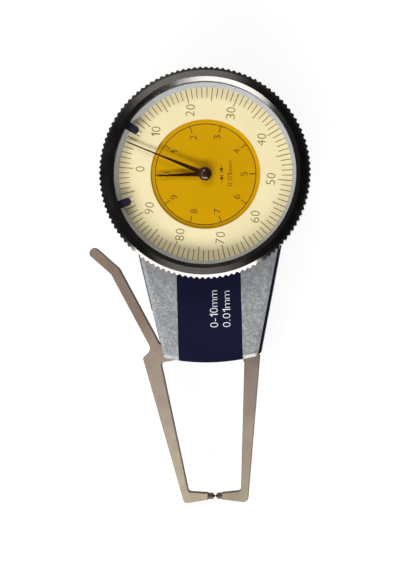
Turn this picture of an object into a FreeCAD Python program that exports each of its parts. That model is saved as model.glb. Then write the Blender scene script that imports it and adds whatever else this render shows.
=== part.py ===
import FreeCAD, Part
import math
import os

import Sketcher

# Outside dial caliper gauge, lying on its back. Millimetres and degrees.
# The origin is on the back plane, under the dial's axis. +Z points out of the dial,
# +Y from the jaws towards the dial, +X to the reader's right.

V = FreeCAD.Vector
UP = V(0, 0, 1)

# Driving sizes
SIZES = {
    # Case: a rear shell and a front cover, a round head with a tapering neck
    "case_radius": 25.0,
    "case_reach": 47.7,
    "neck_half_width": 11.6,
    "neck_inset": 3.58,
    "bottom_radius": 50.0,
    "corner_radius": 0.6,
    "edge_radius": 0.8,
    "bevel_across": 0.85,
    "bevel_down": 0.5,
    "rear_depth": 8.0,
    "rear_floor": 1.6,
    "rear_wall": 1.7,
    "rear_step": 0.7,
    "bottom_setback": 0.2,
    "cover_drop": 0.5,
    "cover_roof": 1.2,
    "cover_wall": 1.6,
    "label_width": 16.3,
    "label_inlay": 0.6,
    "label_stand": 0.1,
    "label_gap": 0.28,
    "slot_room": 1.2,
    # Rim of the cover and the bezel that turns on it
    "rim_inset": 0.68,
    "rim_wall": 1.72,
    "rim_height": 1.8,
    "bezel_clearance": 0.08,
    "bezel_gap": 0.4,
    "bezel_overhang": 1.6,
    "bezel_lip": 1.43,
    "bezel_rise": 0.8,
    "bezel_chamfer": 1.04,
    "chamfer_drop": 0.64,
    "bezel_crown": 1.62,
    "crown_drop": 0.23,
    "shoulder_drop": 0.64,
    "knurl_depth": 0.54,
    "knurl_teeth": 115,
    "wire_radius": 0.35,
    "wire_gap": 20.0,
    # Dial, spacer, crystal and markers
    "dial_lift": 2.0,
    "dial_thickness": 0.5,
    "dial_lap": 1.1,
    "center_radius": 15.0,
    "center_gap": 0.1,
    "center_feet_circle": 10.5,
    "seat_gap": 0.03,
    "spacer_slope": 0.95,
    "spacer_height": 1.6,
    "groove_depth": 0.6,
    "spacer_lip": 0.15,
    "slide_gap": 0.1,
    "crystal_lift": 2.0,
    "crystal_thickness": 1.2,
    "marker_width": 2.0,
    "marker_length": 3.09,
    "marker_thickness": 0.3,
    "marker_span": 16.0,
    "marker_upper_angle": 146.5,
    "marker_lower_angle": 198.5,
    # Pair of hands
    "hub_radius": 1.7,
    "long_hand_margin": 1.59,
    "long_hand_angle": 156.2,
    "short_hand_reach": 12.4,
    "short_hand_angle": 180.5,
    "hand_thickness": 0.2,
    "hand_root": 1.24,
    "hand_tip": 0.26,
    "long_hand_waist": 12.6,
    "long_hand_waist_width": 0.4,
    "short_hand_waist": 9.0,
    "short_hand_waist_width": 0.52,
    "long_hand_lift": 0.8,
    "short_hand_lift": 0.05,
    "hub_lift": 0.4,
    "hub_height": 1.25,
    "hub_wall": 0.45,
    # Jaws
    "jaw_sink": 1.0,
    "jaw_thickness": 2.5,
    "jaw_reach": 34.45,
    "jaw_opening": 10.0,
    "jaw_edge": 0.2,
    "throat_inset": 0.3,
    "foot_rise": 1.25,
    "foot_drop": 1.75,
    "foot_end": 1.8,
    "foot_end_height": 1.7,
    "movable_shoulder": 6.15,
    "movable_arm_width": 4.65,
    "movable_outer_low": 8.0,
    "movable_inner_low": 6.8,
    "fixed_shoulder": 0.9,
    "fixed_arm_width": 4.05,
    "fixed_outer_low": 8.4,
    "fixed_inner_low": 6.65,
    "shank_depth": 16.2,
    "shank_inset": 3.4,
    "shank_shoulder": 2.2,
    "shank_grip": 12.2,
    "shank_screw_first": 3.0,
    "shank_screw_second": 11.0,
    "shank_clearance": 0.1,
    "shoulder_rise": 1.1,
    "tab_rise": 1.2,
    "tab_drop": 0.2,
    "slot_clearance": 0.2,
    "contact_radius": 0.82,
    "contact_nose": 0.3,
    "contact_cone": 47.0,
    "contact_tail": 2.5,
    "contact_tail_radius": 0.45,
    "contact_gap": 0.02,
    # Pivot and finger lever
    "pivot_inset": 2.8,
    "pivot_depth": 7.4,
    "pivot_radius": 1.5,
    "pivot_fit": 0.05,
    "bush_wall": 1.1,
    "pivot_boss": 2.3,
    "lever_offset": 5.1,
    "lever_angle": 26.9,
    "lever_length": 22.1,
    "lever_width": 2.6,
    "lever_root": 2.5,
    "lever_heel": 0.4,
    "finger_angle": 47.2,
    "finger_length": 8.7,
    "hub_inset": 0.6,
    "hub_drop": 2.2,
    "sector_arm_width": 7.2,
    "sector_arm_length": 16.5,
    # Gear train
    "wheel_room": 3.84,
    "drive_bearing": -64.17,
    "gear_backlash": 0.03,
    "wheel_tip": 0.8,
    "pinion_tip": 0.9,
    "tooth_root": 1.25,
    "sector_teeth": 321,
    "drive_pinion_teeth": 12,
    "drive_wheel_teeth": 100,
    "center_pinion_teeth": 10,
    "register_teeth": 55,
    "sector_thickness": 1.0,
    "sector_margin": 3.0,
    "sector_rim": 1.6,
    "sector_foot": 8.0,
    "sector_neck": 16.0,
    "sector_window": 18.5,
    "sector_window_angle": 4.5,
    "sector_screw_first": 9.8,
    "sector_screw_second": 14.2,
    "wheel_thickness": 0.8,
    "wheel_drop": 2.1,
    "wheel_rim": 1.4,
    "wheel_hub": 2.4,
    "wheel_spoke": 1.4,
    "pinion_margin": 0.2,
    "register_gap": 0.5,
    "register_thickness": 0.7,
    "arbor_radius": 0.45,
    "arbor_body_radius": 0.7,
    "arbor_fit": 0.05,
    "arbor_reach": 1.3,
    "arbor_inset": 0.2,
    "end_shake": 0.15,
    "pipe_wall": 0.45,
    "pipe_reach": 0.3,
    "pipe_clearance": 0.2,
    # Movement plates
    "plate_margin": 3.6,
    "plate_edge": 2.5,
    "plate_drop": 2.4,
    "plate_thickness": 1.2,
    "upper_plate_gap": 0.3,
    "upper_plate_thickness": 1.0,
    "bush_radius": 1.5,
    "pillar_radius": 1.6,
    # Springs and stops
    "hairspring_strip": 0.12,
    "hairspring_height": 0.6,
    "hairspring_drop": 1.5,
    "hairspring_turns": 5,
    "hairspring_pitch": 0.8,
    "collet_radius": 1.5,
    "spring_wire": 0.5,
    "spring_turns": 3,
    "spring_lead": 0.65,
    "spring_leg": 4.6,
    "spring_hook": 1.0,
    "post_radius": 0.6,
    "stop_radius": 1.0,
    "stop_clearance": 0.1,
    "stop_reach": 12.5,
    # Screws
    "screw_radius": 0.8,
    "screw_head_radius": 1.5,
    "screw_head_height": 0.5,
    "screw_boss": 1.9,
    "screw_inset": 1.6,
    "neck_screw_right": 1.0,
    "neck_screw_rise": 4.1,
    "thread_depth": 3.0,
    "thread_rest": 0.4,
}

# Sizes worked out from the driving ones, each from those above it
LEVELS = {
    # Heights, from the rear shell up through the jaws and gears to the crystal
    "jaw_level": "rear_depth - jaw_sink",
    "jaw_top": "jaw_level + jaw_thickness",
    "boss_top": "jaw_level - slot_clearance",
    "cover_boss_under": "jaw_top + slot_clearance",
    "sector_top": "jaw_top + sector_thickness",
    "wheel_level": "jaw_top - wheel_drop",
    "plate_level": "wheel_level - plate_drop",
    "plate_top": "plate_level + plate_thickness",
    "register_level": "sector_top + register_gap",
    "hairspring_level": "register_level - hairspring_drop",
    "upper_plate_level": "register_level + register_thickness + upper_plate_gap",
    "upper_plate_top": "upper_plate_level + upper_plate_thickness",
    "cover_face": "upper_plate_top - cover_drop",
    "cover_depth": "cover_face - rear_depth",
    "roof_under": "cover_face - cover_roof",
    "roof_middle": "cover_face - cover_roof / 2",
    "rim_top": "cover_face + rim_height",
    "wire_level": "cover_face + rim_height / 2 + wire_radius / 2",
    "bezel_under": "cover_face + bezel_gap",
    "dial_under": "cover_face + dial_lift",
    "dial_face": "dial_under + dial_thickness",
    "center_face": "dial_under - center_gap",
    "center_under": "center_face - dial_thickness",
    "spacer_top": "dial_face + spacer_height",
    "marker_under": "spacer_top - groove_depth + seat_gap",
    "crystal_under": "dial_face + crystal_lift",
    "crystal_top": "crystal_under + crystal_thickness",
    "marker_top": "crystal_under - slide_gap",
    # Radii about the dial's axis, from the case inwards
    "rim_radius": "case_radius - rim_inset",
    "rim_bore": "rim_radius - rim_wall",
    "bezel_radius": "case_radius + bezel_overhang",
    "bezel_bore": "rim_radius + bezel_clearance",
    "bezel_lip_radius": "rim_radius - bezel_lip",
    "seat_radius": "bezel_bore - seat_gap",
    "spacer_foot": "bezel_lip_radius - spacer_slope",
    "marker_reach": "bezel_lip_radius - marker_length",
    "long_hand_reach": "bezel_lip_radius - long_hand_margin",
    "dial_window": "center_radius - dial_lap",
    "plate_radius": "rim_bore - plate_margin",
    "pillar_circle": "plate_radius - plate_edge",
    "case_screw_circle": "rim_bore - screw_inset",
    "gear_module": "(case_radius - wheel_room) / (drive_wheel_teeth + center_pinion_teeth / 2 + wheel_tip)",
    # Places along the neck and across it, whose side lines pass just inside the round head
    "neck_diagonal": "sqrt(neck_half_width ^ 2 + case_reach ^ 2)",
    "neck_line": "case_radius - neck_inset",
    "neck_taper": "(asin(neck_line / neck_diagonal) - atan(neck_half_width / case_reach)) / 1 deg",
    "label_top": "rim_radius + label_gap",
    "throat_top": "case_reach - throat_inset",
    "contact_level": "case_reach + jaw_reach",
    "pivot_level": "case_reach - pivot_depth",
    "fixed_shank_top": "case_reach - shank_depth",
    "pivot_left": "neck_half_width - pivot_inset",
    "movable_outer_top": "neck_half_width + movable_shoulder",
    "movable_inner_top": "movable_outer_top - movable_arm_width",
    "fixed_outer_top": "neck_half_width + fixed_shoulder",
    "fixed_inner_top": "fixed_outer_top - fixed_arm_width",
    # Small fits
    "screw_hole": "screw_radius + seat_gap",
    "pipe_radius": "arbor_radius + arbor_fit + pipe_wall",
    "pivot_bore": "pivot_radius + pivot_fit",
    "bush_outer": "pivot_bore + bush_wall",
    "spring_coil_radius": "pivot_boss + spring_wire",
}

doc = FreeCAD.newDocument("dial_caliper_gauge")


def make_sheet():
    """Driving sizes as plain numbers in column B, sizes worked out from them in column E."""
    sheet = doc.addObject("Spreadsheet::Sheet", "Sizes")
    for row, (alias, value) in enumerate(SIZES.items(), start=1):
        sheet.set(f"A{row}", alias)
        sheet.set(f"B{row}", str(value))
        sheet.setAlias(f"B{row}", alias)
    for row, (alias, formula) in enumerate(LEVELS.items(), start=1):
        sheet.set(f"D{row}", alias)
        sheet.set(f"E{row}", "=" + formula)
        sheet.setAlias(f"E{row}", alias)
    doc.recompute()
    return sheet


SHEET = make_sheet()


def size(alias):
    """The value of one named size."""
    return float(SHEET.get(alias))


def cells(formula):
    """A formula over named sizes, written for an object's expression."""
    words = formula.replace("(", " ( ").replace(")", " ) ").split()
    known = set(SIZES) | set(LEVELS)
    return " ".join("Sizes." + word if word in known else word for word in words)


def polar(radius, degrees, centre=V(0, 0, 0)):
    """The point at a radius and an angle from a centre."""
    angle = math.radians(degrees)
    return centre + V(radius * math.cos(angle), radius * math.sin(angle), 0)


# Outlines


def rounded(corners):
    """A closed outline through (x, y, radius) corners, each turned with its own radius."""
    turns = []
    for index, (x, y, radius) in enumerate(corners):
        here = V(x, y, 0)
        before = V(*corners[index - 1][:2], 0) - here
        after = V(*corners[(index + 1) % len(corners)][:2], 0) - here
        before.normalize()
        after.normalize()
        if radius == 0:
            turns.append((here, None, here))
            continue
        half = before.getAngle(after) / 2
        back = radius / math.tan(half)
        towards = (before + after).normalize()
        middle = here + towards * (radius / math.sin(half) - radius)
        turns.append((here + before * back, middle, here + after * back))
    geometry = []
    for index, (start, middle, end) in enumerate(turns):
        if middle is not None:
            geometry.append(Part.Arc(start, middle, end))
        following = turns[(index + 1) % len(turns)][0]
        if (following - end).Length > 1e-6:
            geometry.append(Part.LineSegment(end, following))
    return geometry


def polygon(points):
    """A closed outline of straight lines."""
    return rounded([(point[0], point[1], 0) for point in points])


def case_outline(radius, side, bottom, corner):
    """The case seen from the front: a round head and a neck that tapers to a curved end.

    side and bottom move the neck's sides and its end outwards from the front cover's own."""
    taper = math.radians(size("neck_taper"))
    slope = math.tan(taper)
    half = size("neck_half_width") + side / math.cos(taper)
    reach = size("case_reach")
    stretch = 1 + slope * slope
    # where the neck's side meets the round head
    width = half + slope * reach
    across = slope * width
    head_y = (-across - math.sqrt(across**2 - stretch * (width**2 - radius**2))) / stretch
    head = V(half + slope * (reach + head_y), head_y, 0)
    # where the neck's side meets the curved end
    bend = size("bottom_radius") + bottom
    lead = bend - bottom - slope * half
    drop = half**2 + bottom**2 - 2 * bend * bottom
    foot_y = (lead - math.sqrt(lead**2 - stretch * drop)) / stretch - reach
    foot = V(half + slope * (reach + foot_y), foot_y, 0)
    up = (head - foot).normalize()
    end_x = foot.x - corner
    end = V(end_x, bend - reach - bottom - math.sqrt(bend**2 - end_x**2), 0)
    start = foot + up * corner
    turn_half = (start - foot).getAngle(end - foot) / 2
    bow = corner * math.tan(turn_half) * (1 / math.sin(turn_half) - 1)
    middle = foot + ((start + end) / 2 - foot).normalize() * bow

    def left(point):
        return V(-point.x, point.y, 0)

    return [
        Part.Arc(head, V(0, radius, 0), left(head)),
        Part.LineSegment(left(head), left(start)),
        Part.Arc(left(start), left(middle), left(end)),
        Part.Arc(left(end), V(0, -reach - bottom, 0), end),
        Part.Arc(end, middle, start),
        Part.LineSegment(start, head),
    ]


# Document objects


def new_body(label):
    body = doc.addObject("PartDesign::Body", label)
    body.Label = label
    return body


def origin_plane(body, role):
    return next(item for item in body.Origin.OriginFeatures if item.Role == role)


def draw(body, name, geometry, level="0", plane="XY_Plane"):
    """A sketch on one of the body's own planes, raised by a formula over named sizes."""
    sketch = body.newObject("Sketcher::SketchObject", name)
    sketch.AttachmentSupport = [(origin_plane(body, plane), "")]
    sketch.MapMode = "FlatFace"
    sketch.setExpression(".AttachmentOffset.Base.z", cells(level))
    for item in geometry:
        sketch.addGeometry(item, False)
    return sketch


def draw_circles(body, name, centres, radius, level="0"):
    """A sketch of equal circles whose radius follows a formula over named sizes."""
    sketch = draw(body, name, [], level)
    for centre in centres:
        index = sketch.addGeometry(Part.Circle(centre, UP, 1.0), False)
        constraint = sketch.addConstraint(Sketcher.Constraint("Radius", index, 1.0))
        sketch.setExpression(f"Constraints[{constraint}]", cells(radius))
    return sketch


def feature(body, kind, sketch, length):
    item = body.newObject(kind, sketch.Name + "_step")
    item.Profile = sketch
    item.setExpression("Length", cells(length))
    return item


def add(body, sketch, length):
    """Adds material upwards from the sketch."""
    return feature(body, "PartDesign::Pad", sketch, length)


def cut(body, sketch, length):
    """Removes material upwards from the sketch."""
    item = feature(body, "PartDesign::Pocket", sketch, length)
    item.Reversed = True
    return item


def turn(body, name, profile):
    """A solid turned about the dial's axis from (radius, height) corners or curves."""
    geometry = polygon(profile) if isinstance(profile[0], tuple) else profile
    sketch = draw(body, name, geometry, plane="XZ_Plane")
    item = body.newObject("PartDesign::Revolution", name + "_turn")
    item.Profile = sketch
    item.ReferenceAxis = (sketch, ["V_Axis"])
    item.Angle = 360
    return item


def turn_groove(body, name, section):
    """A groove turned about the dial's axis."""
    sketch = draw(body, name, polygon(section), plane="XZ_Plane")
    item = body.newObject("PartDesign::Groove", name + "_turn")
    item.Profile = sketch
    item.ReferenceAxis = (sketch, ["V_Axis"])
    item.Angle = 360
    return item


def flat_edges(item, level):
    """Names of the edges that lie at a height."""
    names = []
    for index, edge in enumerate(item.Shape.Edges, start=1):
        box = edge.BoundBox
        if abs(box.ZMin - level) < 1e-4 and abs(box.ZMax - level) < 1e-4:
            names.append(f"Edge{index}")
    return names


def soften(body, kind, base, edges, amount):
    """Rounds or chamfers named edges."""
    item = body.newObject(kind, base.Name + "_edges")
    item.Base = (base, edges)
    item.setExpression("Radius" if kind.endswith("Fillet") else "Size", cells(amount))
    return item


def rod(label, centre, radius, low, high):
    """A plain round bar along Z between two heights."""
    bar = doc.addObject("Part::Cylinder", label)
    bar.setExpression("Radius", cells(radius))
    bar.setExpression("Height", cells(f"({high}) - ({low})"))
    bar.setExpression(".Placement.Base.z", cells(low))
    bar.Placement.Base = V(centre.x, centre.y, 0)
    bar.Label = label
    return bar


def join(label, parts):
    joined = doc.addObject("Part::MultiFuse", label)
    joined.Shapes = parts
    joined.Label = label
    return joined


def take(label, base, tool):
    """The first object less the second."""
    rest = doc.addObject("Part::Cut", label)
    rest.Base = base
    rest.Tool = tool
    rest.Label = label
    return rest


def tube(label, centre, outer, inner, low, high):
    """A round sleeve along Z."""
    wall = rod(label + "_wall", centre, outer, low, high)
    bore = rod(label + "_bore", centre, inner, low, high)
    return take(label, wall, bore)


def group(label, parts):
    """Equal pieces kept apart as separate solids under one name."""
    together = doc.addObject("Part::Compound", label)
    together.Links = parts
    together.Label = label
    return together


def shaped(label, shape):
    """A piece whose shape is worked out by the functions of this file."""
    item = doc.addObject("Part::Feature", label)
    item.Shape = shape
    item.Label = label
    return item


# Places


PIVOT = V(-size("pivot_left"), -size("pivot_level"), 0)
TRAVEL = 2 * math.degrees(
    math.asin(
        size("jaw_opening")
        / 2
        / math.hypot(size("pivot_left"), size("contact_level") - size("pivot_level"))
    )
)
MODULE = size("gear_module")
CENTER = V(0, 0, 0)
DRIVE_BEARING = size("drive_bearing")
DRIVE = polar(MODULE * (size("drive_wheel_teeth") + size("center_pinion_teeth")) / 2, DRIVE_BEARING)
BACKLASH = DRIVE * -1
SECTOR_MODULE = 2 * (DRIVE - PIVOT).Length / (size("sector_teeth") + size("drive_pinion_teeth"))
MESH_BEARING = math.degrees(math.atan2(DRIVE.y - PIVOT.y, DRIVE.x - PIVOT.x))
SECTOR_MIDDLE = MESH_BEARING + TRAVEL / 2

CASE_SCREW_BEARINGS = (30, 150, 210, 330)
CASE_SCREWS = [polar(size("case_screw_circle"), bearing) for bearing in CASE_SCREW_BEARINGS]
CASE_SCREWS.append(V(size("neck_screw_right"), size("neck_screw_rise") - size("case_reach"), 0))
PLATE_SCREWS = [polar(size("pillar_circle"), bearing) for bearing in (30, 150, 270)]
PILLARS = [polar(size("pillar_circle"), bearing) for bearing in (0, 60, 180, 230)]
SHANK_LEFT = size("fixed_inner_top") - size("shank_inset")
SHANK_RIGHT = size("fixed_outer_top") - size("shank_shoulder")
FIXED_SCREWS = [
    V((SHANK_LEFT + SHANK_RIGHT) / 2, -size("fixed_shank_top") - size(back), 0)
    for back in ("shank_screw_first", "shank_screw_second")
]
SECTOR_SCREWS = [
    PIVOT + polar(size(reach), SECTOR_MIDDLE) for reach in ("sector_screw_first", "sector_screw_second")
]
CENTER_FEET = [polar(size("center_feet_circle"), bearing) for bearing in (10, 200, 250)]


def stop_place():
    """Beside the sector arm's right edge when the jaw is fully open."""
    bearing = SECTOR_MIDDLE - TRAVEL
    away = size("sector_arm_width") / 2 + size("stop_radius") + size("stop_clearance")
    return PIVOT + polar(size("stop_reach"), bearing) + polar(away, bearing - 90)


def spring_place(side):
    """Beside the end of one of the return spring's legs."""
    reach = size("spring_coil_radius") + size("spring_wire") / 2 + size("post_radius")
    return PIVOT + V(reach, side * (size("spring_leg") - size("spring_hook")), 0)


STOP = stop_place()
SPRING_POST = spring_place(-1)
SPRING_PIN = spring_place(1)


# Case


def slot_corners():
    """Room for the movable jaw in the case's left side and bottom."""
    left = -size("case_radius")
    right = PIVOT.x + size("lever_offset")
    top = PIVOT.y + size("lever_offset") + size("slot_room")
    low = -size("case_reach") - size("foot_drop")
    return [(left, low), (right, low), (right, top), (left, top)]


def shank_pocket_corners():
    """Room for the fixed jaw in the case's bottom."""
    gap = size("shank_clearance")
    left = SHANK_LEFT - gap
    right = size("fixed_outer_top") + gap
    low = -size("case_reach") - size("foot_drop")
    shoulder = -size("throat_top") + size("shoulder_rise") + gap
    top = -size("fixed_shank_top") - size("shank_grip") + gap
    return [(left, low), (right, low), (right, shoulder), (SHANK_RIGHT + gap, top), (left, top)]


def make_rear_shell():
    body = new_body("rear_housing")
    corner = size("corner_radius")
    radius = size("case_radius") + size("rear_step")
    outline = case_outline(radius, size("rear_step"), -size("bottom_setback"), corner)
    shell = add(body, draw(body, "rear_outline", outline), "rear_depth")
    doc.recompute()
    soften(body, "PartDesign::Fillet", shell, flat_edges(shell, 0), "edge_radius")
    wall = size("rear_wall")
    hollow = case_outline(radius - wall, size("rear_step") - wall, -size("bottom_setback") - wall, corner)
    cut(body, draw(body, "rear_hollow", hollow, "rear_floor"), "rear_depth")
    bosses = [
        ("rear_screw_bosses", CASE_SCREWS, "screw_boss", "rear_depth"),
        ("plate_bosses", PLATE_SCREWS, "screw_boss", "plate_level"),
        ("shank_bosses", FIXED_SCREWS, "screw_boss", "jaw_level"),
        ("rear_pivot_boss", [PIVOT], "pivot_boss", "boss_top"),
    ]
    for name, places, boss, top in bosses:
        circles = draw_circles(body, name, places, boss, "rear_floor / 2")
        add(body, circles, f"{top} - rear_floor / 2")
    cut(body, draw(body, "rear_jaw_slot", polygon(slot_corners()), "boss_top"), "rear_depth")
    pocket = polygon(shank_pocket_corners())
    cut(body, draw(body, "rear_shank_pocket", pocket, "jaw_level - seat_gap"), "rear_depth")
    heads = draw_circles(body, "case_screw_heads", CASE_SCREWS, "screw_head_radius + seat_gap")
    cut(body, heads, "screw_head_height + seat_gap")
    holes = [
        ("case_screw_holes", CASE_SCREWS, "screw_hole", "0"),
        ("plate_screw_holes", PLATE_SCREWS, "screw_hole", "rear_floor"),
        ("shank_screw_holes", FIXED_SCREWS, "screw_hole", "rear_floor"),
        ("rear_pivot_hole", [PIVOT], "pivot_radius", "rear_floor"),
        ("post_holes", [STOP, SPRING_POST], "post_radius", "rear_floor / 2"),
    ]
    for name, places, hole, low in holes:
        cut(body, draw_circles(body, name, places, hole, low), "rear_depth")
    return body


def make_front_cover():
    body = new_body("front_cover")
    corner = size("corner_radius")
    outline = case_outline(size("case_radius"), 0, 0, corner)
    shell = add(body, draw(body, "cover_outline", outline, "rear_depth"), "cover_depth")
    doc.recompute()
    bevel = soften(body, "PartDesign::Chamfer", shell, flat_edges(shell, size("cover_face")), "bevel_down")
    bevel.ChamferType = "Two distances"
    bevel.setExpression("Size2", cells("bevel_across"))
    rim = draw_circles(body, "rim", [CENTER], "rim_radius", "rear_depth")
    add(body, rim, "rim_top - rear_depth")
    wall = size("cover_wall")
    hollow = case_outline(size("rim_bore"), -wall, -wall, corner)
    cut(body, draw(body, "cover_hollow", hollow, "rear_depth"), "roof_under - rear_depth")
    bore = draw_circles(body, "rim_bore_circle", [CENTER], "rim_bore", "rear_depth")
    cut(body, bore, "rim_top - rear_depth")
    bosses = draw_circles(body, "cover_screw_bosses", CASE_SCREWS, "screw_boss", "rear_depth")
    add(body, bosses, "roof_middle - rear_depth")
    boss = draw_circles(body, "cover_pivot_boss", [PIVOT], "pivot_boss", "cover_boss_under")
    add(body, boss, "roof_middle - cover_boss_under")
    slot = draw(body, "cover_jaw_slot", polygon(slot_corners()), "rear_depth")
    cut(body, slot, "cover_boss_under - rear_depth")
    pocket = draw(body, "cover_shank_pocket", polygon(shank_pocket_corners()), "rear_depth")
    cut(body, pocket, "jaw_top + seat_gap - rear_depth")
    threads = draw_circles(body, "cover_screw_holes", CASE_SCREWS, "screw_hole", "rear_depth")
    cut(body, threads, "roof_under - rear_depth")
    pin = draw_circles(body, "cover_pivot_hole", [PIVOT], "pivot_radius", "cover_boss_under")
    cut(body, pin, "roof_middle - cover_boss_under")
    half = size("label_width") / 2 + size("seat_gap")
    low = -size("case_reach") - size("slot_room")
    top = -size("label_top") + size("seat_gap")
    recess = polygon([(-half, low), (half, low), (half, top), (-half, top)])
    cut(body, draw(body, "label_recess", recess, "cover_face - label_inlay"), "cover_depth")
    rim_edge = size("rim_radius")
    turn_groove(body, "rim_wire_groove", wire_groove(rim_edge - size("wire_radius"), rim_edge + 1))
    return body


def wire_groove(inner, outer):
    """Section of a groove for the bezel's spring wire, a little wider than the wire."""
    half = size("wire_radius") + size("seat_gap")
    low = size("wire_level") - half
    high = size("wire_level") + half
    return [(inner, low), (outer, low), (outer, high), (inner, high)]


def make_label():
    """The plate let into the neck, its lower end on the same curve as the case's."""
    body = new_body("name_plate")
    half = size("label_width") / 2
    bend = size("bottom_radius")
    low = bend - size("case_reach") - math.sqrt(bend**2 - half**2)
    top = -size("label_top")
    outline = [
        Part.LineSegment(V(-half, top, 0), V(-half, low, 0)),
        Part.Arc(V(-half, low, 0), V(0, -size("case_reach"), 0), V(half, low, 0)),
        Part.LineSegment(V(half, low, 0), V(half, top, 0)),
        Part.LineSegment(V(half, top, 0), V(-half, top, 0)),
    ]
    sketch = draw(body, "label_outline", outline, "cover_face - label_inlay")
    plate = add(body, sketch, "label_inlay + label_stand")
    doc.recompute()
    edges = flat_edges(plate, size("cover_face") + size("label_stand"))
    soften(body, "PartDesign::Chamfer", plate, edges, "label_stand")
    return body


# Bezel and dial


def make_bezel():
    """Turned ring with a knurled edge. Its crown falls away outwards to a steeper shoulder."""
    body = new_body("bezel_blank")
    bore = size("bezel_bore")
    lip = size("bezel_lip_radius")
    top = size("crystal_top") + size("bezel_rise")
    crown = lip + size("bezel_chamfer")
    crown_edge = top - size("crown_drop")
    crest = size("bezel_radius")
    side = crown_edge - size("shoulder_drop")
    under = size("bezel_under")
    bevel = size("knurl_depth")
    profile = [
        (crest - bevel, under),
        (bore, under),
        (bore, size("crystal_top")),
        (lip, size("crystal_top")),
        (lip, top - size("chamfer_drop")),
        (crown, top),
        (crown + size("bezel_crown"), crown_edge),
        (crest, side),
        (crest, under + bevel),
    ]
    turn(body, "bezel_section", profile)
    turn_groove(body, "bezel_wire_groove", wire_groove(bore - 1, bore + size("wire_radius")))
    teeth = int(size("knurl_teeth"))
    crests = []
    for tooth in range(teeth):
        crests.append(polar(crest, 360 * tooth / teeth))
        crests.append(polar(crest - size("knurl_depth"), 360 * (tooth + 0.5) / teeth))
    star = Part.Face(Part.makePolygon(crests + crests[:1]))
    star.translate(UP * (under - 1))
    knurl = shaped("bezel_knurl", star.extrude(UP * (top - under + 2)))
    common = doc.addObject("Part::Common", "bezel")
    common.Base = body
    common.Tool = knurl
    common.Label = "bezel"
    return common


def make_bezel_wire():
    wire = doc.addObject("Part::Torus", "bezel_wire")
    wire.setExpression("Radius1", cells("rim_radius + bezel_clearance / 2"))
    wire.setExpression("Radius2", cells("wire_radius - seat_gap"))
    wire.setExpression("Angle3", cells("360 - wire_gap"))
    wire.setExpression(".Placement.Base.z", cells("wire_level"))
    wire.Label = "bezel_wire"
    return wire


def make_crystal():
    body = new_body("crystal")
    seat = size("seat_radius")
    low = size("crystal_under")
    high = size("crystal_top")
    turn(body, "crystal_section", [(0, low), (seat, low), (seat, high), (0, high)])
    return body


def make_dial_ring():
    body = new_body("dial_ring")
    edge = draw_circles(body, "dial_ring_edge", [CENTER], "seat_radius", "dial_under")
    add(body, edge, "dial_thickness")
    window = draw_circles(body, "dial_window_edge", [CENTER], "dial_window", "dial_under")
    cut(body, window, "dial_thickness")
    return body


def make_spacer():
    """Sloping ring between dial and crystal, with a groove for the markers behind its top."""
    body = new_body("spacer_ring")
    seat = size("seat_radius")
    low = size("dial_face")
    high = size("spacer_top")
    step = high - size("groove_depth")
    lip = size("bezel_lip_radius")
    back = lip + size("spacer_lip")
    outside = [(size("spacer_foot"), low), (seat, low), (seat, step)]
    turn(body, "spacer_section", outside + [(back, step), (back, high), (lip, high)])
    return body


def make_dial_center():
    """Yellow centre of the dial, riveted to the upper plate by three feet."""
    body = new_body("dial_center")
    edge = draw_circles(body, "center_edge", [CENTER], "center_radius", "center_under")
    add(body, edge, "dial_thickness")
    feet = draw_circles(body, "center_feet", CENTER_FEET, "arbor_radius", "upper_plate_level")
    add(body, feet, "center_under - upper_plate_level")
    hole = draw_circles(body, "center_hole", [CENTER], "pipe_radius + pipe_clearance", "center_under")
    cut(body, hole, "dial_thickness")
    return body


def make_marker(label, bearing):
    """A tolerance marker: a shoe that slides in the spacer's groove and a tab over the dial."""
    body = new_body(label)
    inner = size("bezel_lip_radius") + size("spacer_lip") + size("slide_gap")
    outer = size("bezel_bore") - size("slide_gap")
    half = size("marker_span") / 2
    shoe = [
        Part.Arc(polar(outer, bearing - half), polar(outer, bearing), polar(outer, bearing + half)),
        Part.LineSegment(polar(outer, bearing + half), polar(inner, bearing + half)),
        Part.Arc(polar(inner, bearing + half), polar(inner, bearing), polar(inner, bearing - half)),
        Part.LineSegment(polar(inner, bearing - half), polar(outer, bearing - half)),
    ]
    add(body, draw(body, label + "_shoe", shoe, "marker_under"), "marker_top - marker_under")
    along = polar(1, bearing)
    across = polar(1, bearing + 90) * (size("marker_width") / 2)
    nose = along * (size("marker_reach") + size("marker_width") / 2)
    root = along * ((inner + outer) / 2)
    tab = [
        Part.LineSegment(root + across, nose + across),
        Part.Arc(nose + across, along * size("marker_reach"), nose - across),
        Part.LineSegment(nose - across, root - across),
        Part.LineSegment(root - across, root + across),
    ]
    level = "marker_top - marker_thickness"
    add(body, draw(body, label + "_tab", tab, level), "marker_thickness")
    return body


# Jaws


def lever_corners():
    """The finger lever, from the case's side up to its rounded end and back down."""
    steep = math.radians(size("lever_angle"))
    flat = math.radians(size("finger_angle"))
    near = PIVOT - V(math.cos(steep), math.sin(steep), 0) * size("lever_offset")
    up = V(-math.sin(steep), math.cos(steep), 0)
    out = V(-math.sin(flat), math.cos(flat), 0)
    width = size("lever_width")
    bend = near + up * size("lever_length")
    aside = V(-math.cos(steep), -math.sin(steep), 0) * width
    below = V(-math.cos(flat), -math.sin(flat), 0) * width
    mitre = width * math.tan((flat - steep) / 2)
    tip = bend + out * size("finger_length")
    inner = near - up * size("lever_root")
    outer_bend = bend + aside - up * mitre
    outer_low = near + aside - up * size("lever_heel")
    return inner, bend, tip, tip + below, outer_bend, outer_low


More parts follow.
